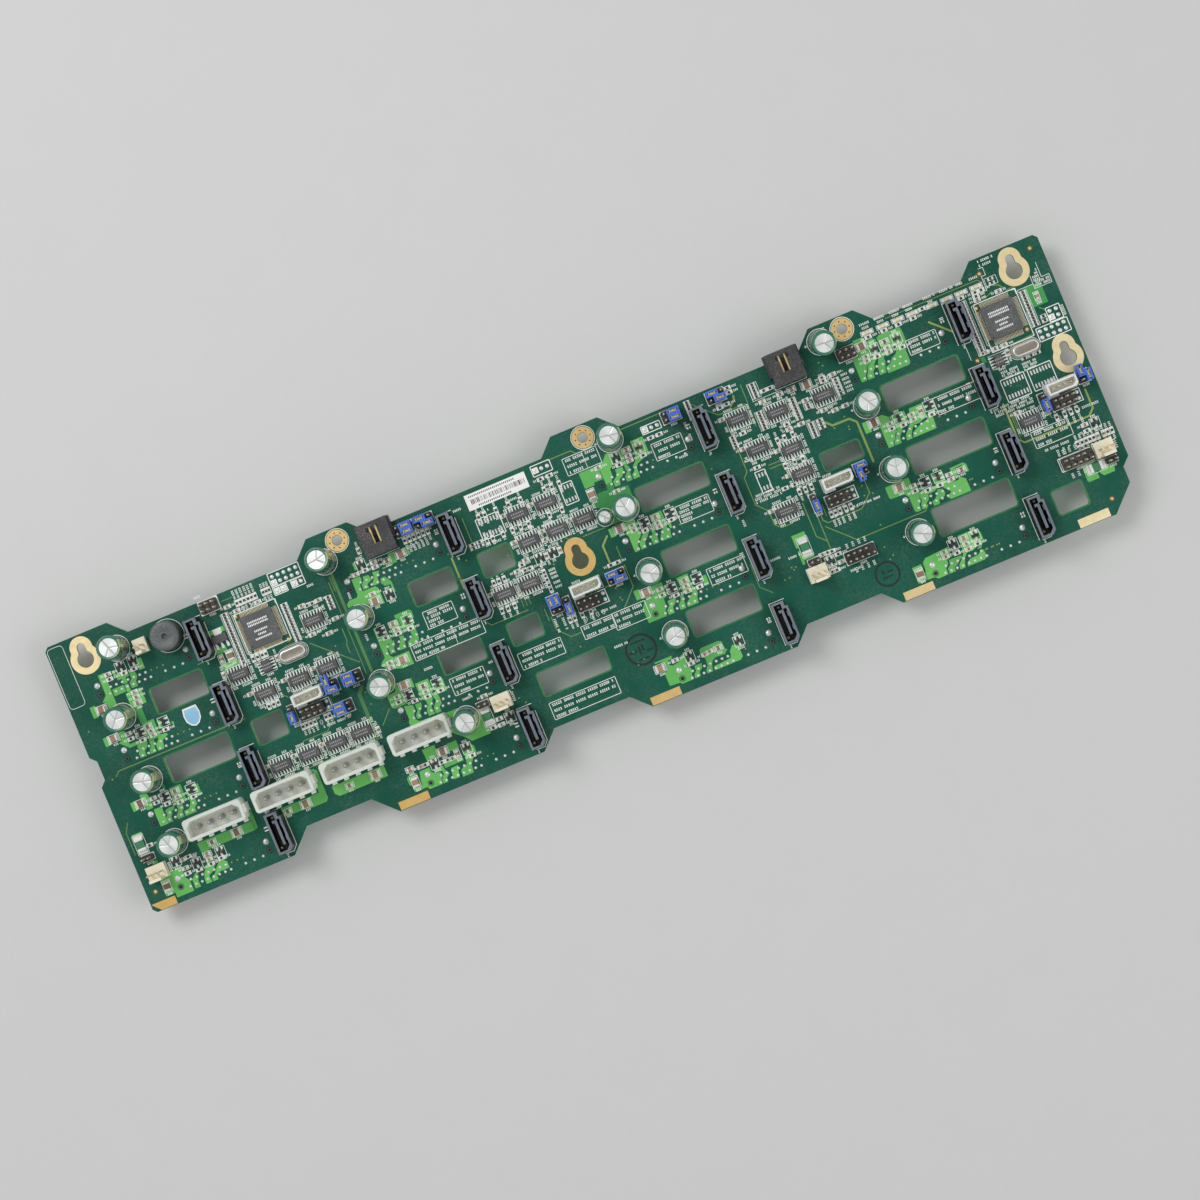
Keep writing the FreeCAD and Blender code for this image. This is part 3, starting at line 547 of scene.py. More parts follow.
# Capacitors: column, distance, row, distance, lean of the top along X and Y, turn of the lid's score
cans = [
    (0, -6.2, 0, 11.0, 0.4, 0.7, 20), (0, -14.5, 1, 12.8, 0.2, -0.6, 140), (0, -14.3, 2, 13.3, 0.3, 0.1, 75),
    (0, -14.6, 3, 14.1, 0.7, 0.2, 200), (1, -24.8, 0, 10.8, -0.6, 1.2, 100), (1, -19.6, 1, 12.6, -0.2, -0.2, 95),
    (1, -22.1, 2, 13.2, 0.3, -1.3, 250), (1, 3.8, 3, 14.6, 0.2, -0.8, 15), (2, -9.4, 0, 11.9, 0.1, 0.8, 80),
    (2, -14.1, 1, 12.1, 0.0, 0.1, 190), (2, -15.2, 2, 13.3, 0.1, -1.0, 60), (2, -15.2, 3, 14.1, -0.2, -0.6, 110),
    (3, -26.5, 0, 15.4, -0.1, -2.0, 85), (3, -19.1, 1, 12.8, -0.4, 0.9, 30), (3, -19.3, 2, 13.3, 0.2, 0.1, 170),
    (3, -19.3, 3, 14.2, -0.3, -0.8, 65),
]
smallCan = (2, -23.2, 1, 11.9, 0.0, 0.0, 45)
canSteps, lidSteps = 48, 72  # points round a sleeve and round a lid


def leaned(shape, radius, height, place):
    # Tips a shape so that the top moves by the lean while the edge of the foot stays on the board
    verts, (leanX, leanY) = shape[0], place[4:6]
    angle = np.arcsin(np.hypot(leanX, leanY) / height)
    if angle > 0:
        tip = np.array(Matrix.Rotation(angle, 3, Vector((-leanY, leanX, 0)).normalized()))
        verts = verts @ tip.T + np.array([0, 0, radius * np.sin(angle)])
    return shifted((verts, shape[1]), *site(*place), top)


def canPieces(radius, height):
    # Sleeve: a foot bead, a groove, a straight wall and a rolled shoulder. Lid: a disc with three scored lines.
    wall = [(radius - 0.45, 0.0), (radius - 0.1, 0.12), (radius, 0.5), (radius, 1.0), (radius - 0.28, 1.45),
            (radius - 0.28, 1.75), (radius, 2.2), (radius, height - 0.55), (radius - 0.12, height - 0.18),
            (radius - 0.4, height - 0.02)]
    # The sleeve folds well over the top and leaves the middle of the lid bare
    bare = radius * 0.755
    rim = [(radius - 0.4, height - 0.02), (radius - 0.62, height), (radius - 0.8, height), (bare + 0.12, height - 0.08),
           (bare, height - 0.16), (bare - 0.03, height - 0.3)]
    rings = np.linspace(bare - 0.01, 0.05, 22)
    turn = np.arange(lidSteps) / lidSteps * 2 * np.pi
    x, y = rings[:, None] * np.cos(turn), rings[:, None] * np.sin(turn)
    # The score dips where a point is near one of three straight lines that meet beside the middle
    reach = bare * 0.97
    near = np.full(x.shape, 9.0)
    for degrees, first, last in ((90, -1.0, 1.0), (215, 0.0, 1.0), (325, 0.0, 1.0)):
        ux, uy = np.cos(np.radians(degrees)), np.sin(np.radians(degrees))
        along = np.clip(x * ux + y * uy, first * reach, last * reach)
        near = np.minimum(near, np.hypot(x - along * ux, y - along * uy))
    dip = np.exp(-(near / 0.2) ** 2)
    lid = loft(np.stack([x, y, height - 0.28 - 0.16 * dip], -1), False)
    # Painted shade: the parts between the lines differ a little in brightness, as their tilt would shade them, and the
    # scored lines are painted darker
    tone = np.append(((0.86 + 0.14 * np.cos(2 * turn + 0.8)) * (1 - 0.7 * dip)).ravel(), 0.3)
    return lathe(wall, canSteps, True, False), lathe(rim, canSteps, False, False), lid, tone, wall


def buildCans(name, table, radius, height, replaced):
    sleeve, band, lid, tone, wall = canPieces(radius, height)
    sleeves, bands, lids, glints = [], [], [], []
    turns = np.arange(canSteps) / canSteps
    around = np.append((np.tile(turns, len(wall)) + 0.5) % 1.0, 0.5)
    up = np.append(np.repeat([z / height * 10 for r, z in wall], canSteps), 0.0)
    for place in table:
        spin = np.array(Matrix.Rotation(np.radians(place[6]), 3, "Z"))
        for shapes, shape in ((sleeves, sleeve), (bands, band), (lids, (lid[0] @ spin.T, lid[1]))):
            shapes.append(leaned(shape, radius, height, place))
        # Painted highlight: a yellowish arc on one side of each folded rim, turned nearly the same way on every can and
        # stronger on the two left columns
        away = (turns * 360 + 25 + place[6] % 30 + 180) % 360 - 180
        rimHighlight = np.exp(-(away / 38) ** 2) * (0.75 if place[0] < 2 else 0.25)
        glints.append(np.outer([1, 0.9, 0.5, 0.1, 0.0, 0.0], rimHighlight).ravel())
    addPiece(name + "Sleeves", joined(*sleeves), mats["sleeve"], smooth=True,
             uv=np.tile(np.column_stack([around, up]), (len(table), 1)), replaces=replaced)
    addPiece(name + "Rims", joined(*bands), mats["sleeveRim"], smooth=True, tone=np.concatenate(glints))
    addPiece(name + "Lids", joined(*lids), mats["aluminium"], smooth=True, tone=np.tile(tone, len(table)))


buildCans("can", cans, 5.0, 16.0, ["capacitor_%02d" % n for n in range(1, 17)])
buildCans("smallCan", [smallCan], 3.15, 11.0, ["small_capacitor"])
print("capacitors made")

# Headers: column, distance, row, distance, pins along X, pins along Y
headers = [
    (0, 34.9, 0, 12.3, 3, 2), (3, -18.8, 0, 7.1, 3, 2), (0, 57.3, 1, -14.4, 4, 2), (1, 67.1, 1, -17.0, 4, 2),
    (2, 65.5, 1, -17.0, 4, 2), (3, 53.4, 1, -15.6, 4, 2), (2, 65.2, 3, 15.2, 5, 2), (3, 49.6, 3, 16.7, 5, 2),
    (0, -26.9, 3, 12.3, 2, 1), (1, 12.0, 3, 17.5, 2, 1), (2, 47.1, 3, 19.4, 2, 1), (3, 62.1, 3, 11.4, 2, 1),
    (0, 68.4, 1, -8.3, 2, 2), (0, 77.3, 1, -8.3, 3, 2), (0, 69.5, 1, -18.1, 3, 2), (0, 49.3, 1, -12.8, 1, 3),
    (1, 10.0, 0, 10.6, 3, 2), (1, 18.8, 0, 10.6, 3, 2), (1, 54.2, 1, -12.5, 2, 3), (1, 59.0, 1, -15.1, 1, 3),
    (1, 81.1, 1, -11.6, 3, 2), (2, 16.6, 0, 11.3, 3, 2), (2, 36.0, 0, 11.5, 3, 2), (2, 78.2, 1, -9.4, 2, 2),
    (3, 45.9, 1, -13.3, 1, 3), (3, 64.4, 1, -9.5, 2, 2), (2, 56.2, 1, -15.2, 1, 3),
]
buses = [(0, 58.1, 1, -8.3), (1, 68.3, 1, -10.9), (2, 67.7, 1, -10.1), (3, 54.5, 1, -9.6)]
fans = [(0, -25.5, 3, 5.5), (1, 19.4, 3, 15.8), (2, 46.7, 3, 14.5), (3, 61.0, 3, 16.9)]
reset = (0, 3.6, 0, 8.1)


def pinGrid(x, y, across, deep):
    i, j = np.meshgrid(np.arange(across), np.arange(deep), indexing="ij")
    return np.column_stack([x + (i.ravel() - (across - 1) / 2) * pitch, y + (j.ravel() - (deep - 1) / 2) * pitch])


headerPins = []
for *place, across, deep in headers:
    grid = pinGrid(*site(*place), across, deep)
    headerPins.append(grid[:-1] if across == 5 else grid)
headerPins = np.vstack(headerPins)
busPins = np.vstack([pinGrid(*site(*place), 4, 1) for place in buses])
lockPins = np.vstack([pinGrid(*site(*place), 3, 1) for place in fans] + [pinGrid(*site(*reset), 2, 1)])


def squarePin(base, tip, width=0.64):
    # A square pin whose end tapers in two steps
    return loft([rounded(width, width, base), rounded(width, width, tip - 0.55),
                 rounded(width * 0.78, width * 0.78, tip - 0.2), rounded(width * 0.42, width * 0.42, tip)])


pins = [stamp(squarePin(base, tip), spots, height=top)
        for base, tip, spots in ((2.5, 8.5, headerPins), (2.0, 6.4, busPins), (3.2, 11.4, lockPins))]
addPiece("squarePins", joined(*pins), mats["pin"], replaces=["header_pins"])

# Small round buzzer and the two drawn crystal cans
buzzerX, buzzerY = site(0, 14.9, 0, 7.7)
buzzerShape = lathe([(5.2, 0.0), (6.05, 0.0), (6.05, 6.9), (5.98, 7.7), (5.7, 8.2), (5.3, 8.45), (4.7, 8.5), (2.1, 8.5),
                     (1.95, 8.32), (1.75, 8.32), (1.6, 8.5), (1.15, 8.5), (1.12, 7.0)], 56)
addPiece("buzzerShell", shifted(buzzerShape, buzzerX, buzzerY, top), mats["buzzer"], smooth=True,
         replaces=["buzzer"])


def ovals(rows, *caps):
    # A loft of ovals from rows of length, width and height
    out = []
    for length, width, z in rows:
        radius = width / 2
        turn = (np.arange(10) / 9 - 0.5) * np.pi
        half = np.stack([length / 2 - radius + radius * np.cos(turn), radius * np.sin(turn)], -1)
        out.append(np.column_stack([np.vstack([half, -half]), np.full(20, z)]))
    return loft(out, *caps)


# An oval can stands on its flange; wall, then a shoulder turned over a quarter circle
crystalShape = ovals(((12.0, 5.6, 0.0), (12.0, 5.6, 0.42), (11.9, 5.5, 0.5), (11.15, 4.75, 0.55), (11.1, 4.7, 0.8),
                      (11.1, 4.7, 2.9), (10.95, 4.55, 3.3), (10.6, 4.2, 3.52), (10.1, 3.7, 3.6), (9.5, 3.1, 3.6),
                      (9.2, 2.8, 3.57)))
# Painted light by section height: shade at the foot of each can, a highlight on its rounded shoulder, darker over the
# middle of its top
crystalPaintedLight = np.append(np.repeat([0.3, 0.6, 0.7, 0.7, 0.7, 0.8, 0.9, 1.0, 1.0, 0.5, 0.0], 20), [0.3, 0.0])
crystalSpots = sites([(0, 58.9, 0, -18.1), (3, 47.4, 0, -18.5)])
addPiece("crystalCans", stamp(crystalShape, crystalSpots, height=top), mats["crystal"], smooth=True,
         tone=np.tile(crystalPaintedLight, len(crystalSpots)), replaces=["crystals"])
print("pins, buzzer and crystals made")

# Leads of the chips: a gull wing from the wall of the body down to its pad, then along it

def gullLead(reach, width):
    shoulder, thick = 0.78, 0.1
    path = [(-0.2, shoulder), (0.22, shoulder), (0.36, shoulder - 0.06), (0.44, shoulder - 0.2), (0.56, 0.3),
            (0.66, 0.16), (0.8, 0.11), (reach, 0.1)]
    around = ((-width / 2, -thick), (width / 2, -thick), (width / 2, thick), (-width / 2, thick))
    return loft([[(x, y, z + dz) for y, dz in around] for x, z in path])


def leadRow(x, y, count, step, turn, offset):
    # Places along one side of a package, its outward way turned by turn degrees
    along = (np.arange(count) - (count - 1) / 2) * step
    c, s = np.cos(np.radians(turn)), np.sin(np.radians(turn))
    return np.column_stack([x + offset * c - along * s, y + offset * s + along * c])


logic = [
    (0, 35.4, 0, -17.7), (0, 42.4, 1, -0.7), (0, 57.0, 1, -0.7), (0, 69.5, 1, -0.7), (0, 71.5, 0, -9.0),
    (0, 37.1, 2, -2.1), (0, 49.3, 2, -2.1), (0, 61.1, 2, -2.1), (0, 72.0, 2, -2.1), (1, 54.2, 0, -1.6),
    (1, 66.4, 0, -1.6), (1, 54.3, 0, -13.3), (1, 66.5, 0, -13.3), (1, 78.0, 0, -13.3), (1, 37.2, 1, -1.0),
    (1, 48.1, 1, -1.0), (2, 40.7, 0, -0.3), (2, 43.6, 0, -14.4), (2, 56.3, 0, -3.8), (2, 56.2, 0, -19.5),
    (2, 56.3, 1, -2.1), (2, 75.9, 0, -4.8), (2, 44.6, 1, -13.7), (3, 38.4, 1, -17.8),
]
memory = [(0, 47.1, 0, -18.8), (3, 36.1, 0, -18.8)]
controllers = [(0, 50.8, 0, -3.9), (3, 43.4, 0, -4.0)]
logicXY, memoryXY, controllerXY = sites(logic), sites(memory), sites(controllers)
leads, fineLeads, leadPads = [], [], []
# Chips: turns of their sides, leads on a side, step, start, shape of a lead, its pad and the pad's distance
for target, chips, turns, count, step, offset, lead, pad, reach in (
        (leads, logicXY, (90, 270), 7, pitch / 2, 1.95, gullLead(1.5, 0.42), plate(1.5, 0.62, 0.04, 0.1), 1.15),
        (leads, memoryXY, (0, 180), 4, pitch / 2, 1.95, gullLead(1.35, 0.42), plate(1.5, 0.62, 0.04, 0.1), 1.05),
        (fineLeads, controllerXY, (0, 90, 180, 270), 24, 0.52, 7.0, gullLead(1.5, 0.24), plate(0.9, 0.26, 0.04), 1.45)):
    for turn in turns:
        spots = np.vstack([leadRow(x, y, count, step, turn, offset) for x, y in chips])
        target.append(stamp(lead, spots, turn, height=top))
        leadPads.append(stamp(shifted(pad, reach), spots, turn, height=top + 0.012))
addPiece("chipLeads", joined(*leads), mats["tin"])
addPiece("controllerLeads", joined(*fineLeads), mats["leadBeige"])

# Solder domes and joints
bays = [(x, y) for x in columnX for y in rowY]
bayXY = np.array(bays)
dataXY = bayXY + np.array([[27.0, 1.65]])  # middles of the data sockets
legReach = 19.37  # from a column to a drive socket's legs


def inBays(offsets):
    # The same offsets from every bay's column and leg line
    return (bayXY[:, None, :] + np.array(offsets)[None]).reshape(-1, 2)


legs = inBays([[-legReach, 0], [legReach, 0]])
pegs = inBays([[-legReach, -3.6], [legReach, -3.6]])
upperRow = inBays([[-legReach + 4.9 + pitch * n, -2.35] for n in range(7)])
upperVias = inBays([[-legReach + 4.9 + pitch * n, -2.35] for n in range(7, 10)])
lowerRow = inBays([[-legReach + 3.7 + pitch * n, -4.9] for n in range(8)] + [[x, -4.9] for x in (8.53, 12.33, 16.13)])
# A leg's joint: a dome with the flat end of the leg standing in it
legShape = joined(dome(1.25, 0.55, 16), shifted(softBox(1.3, 0.45, 0.75, 0.1), z=0.1))
joints = joined(stamp(legShape, legs, 90), stamp(dome(0.62, 0.4), np.vstack([upperRow, lowerRow])))
addPiece("socketJoints", shifted(joints, z=top), mats["solder"], smooth=True)
pegShape = lathe([(1.32, 0.0), (1.3, 0.04), (1.12, 0.04), (1.08, -0.25), (0.9, -0.3), (0.85, 0.12), (0.6, 0.3),
                  (0.2, 0.34)], 20, False)
addPiece("pegEnds", stamp(pegShape, pegs, height=top + padLift), mats["hole"], smooth=True)
addPiece("pegRings", stamp(ring(0.86, 0.64, 0.06, 20), pegs, height=top + 0.26), mats["buzzer"])
print("joints made")

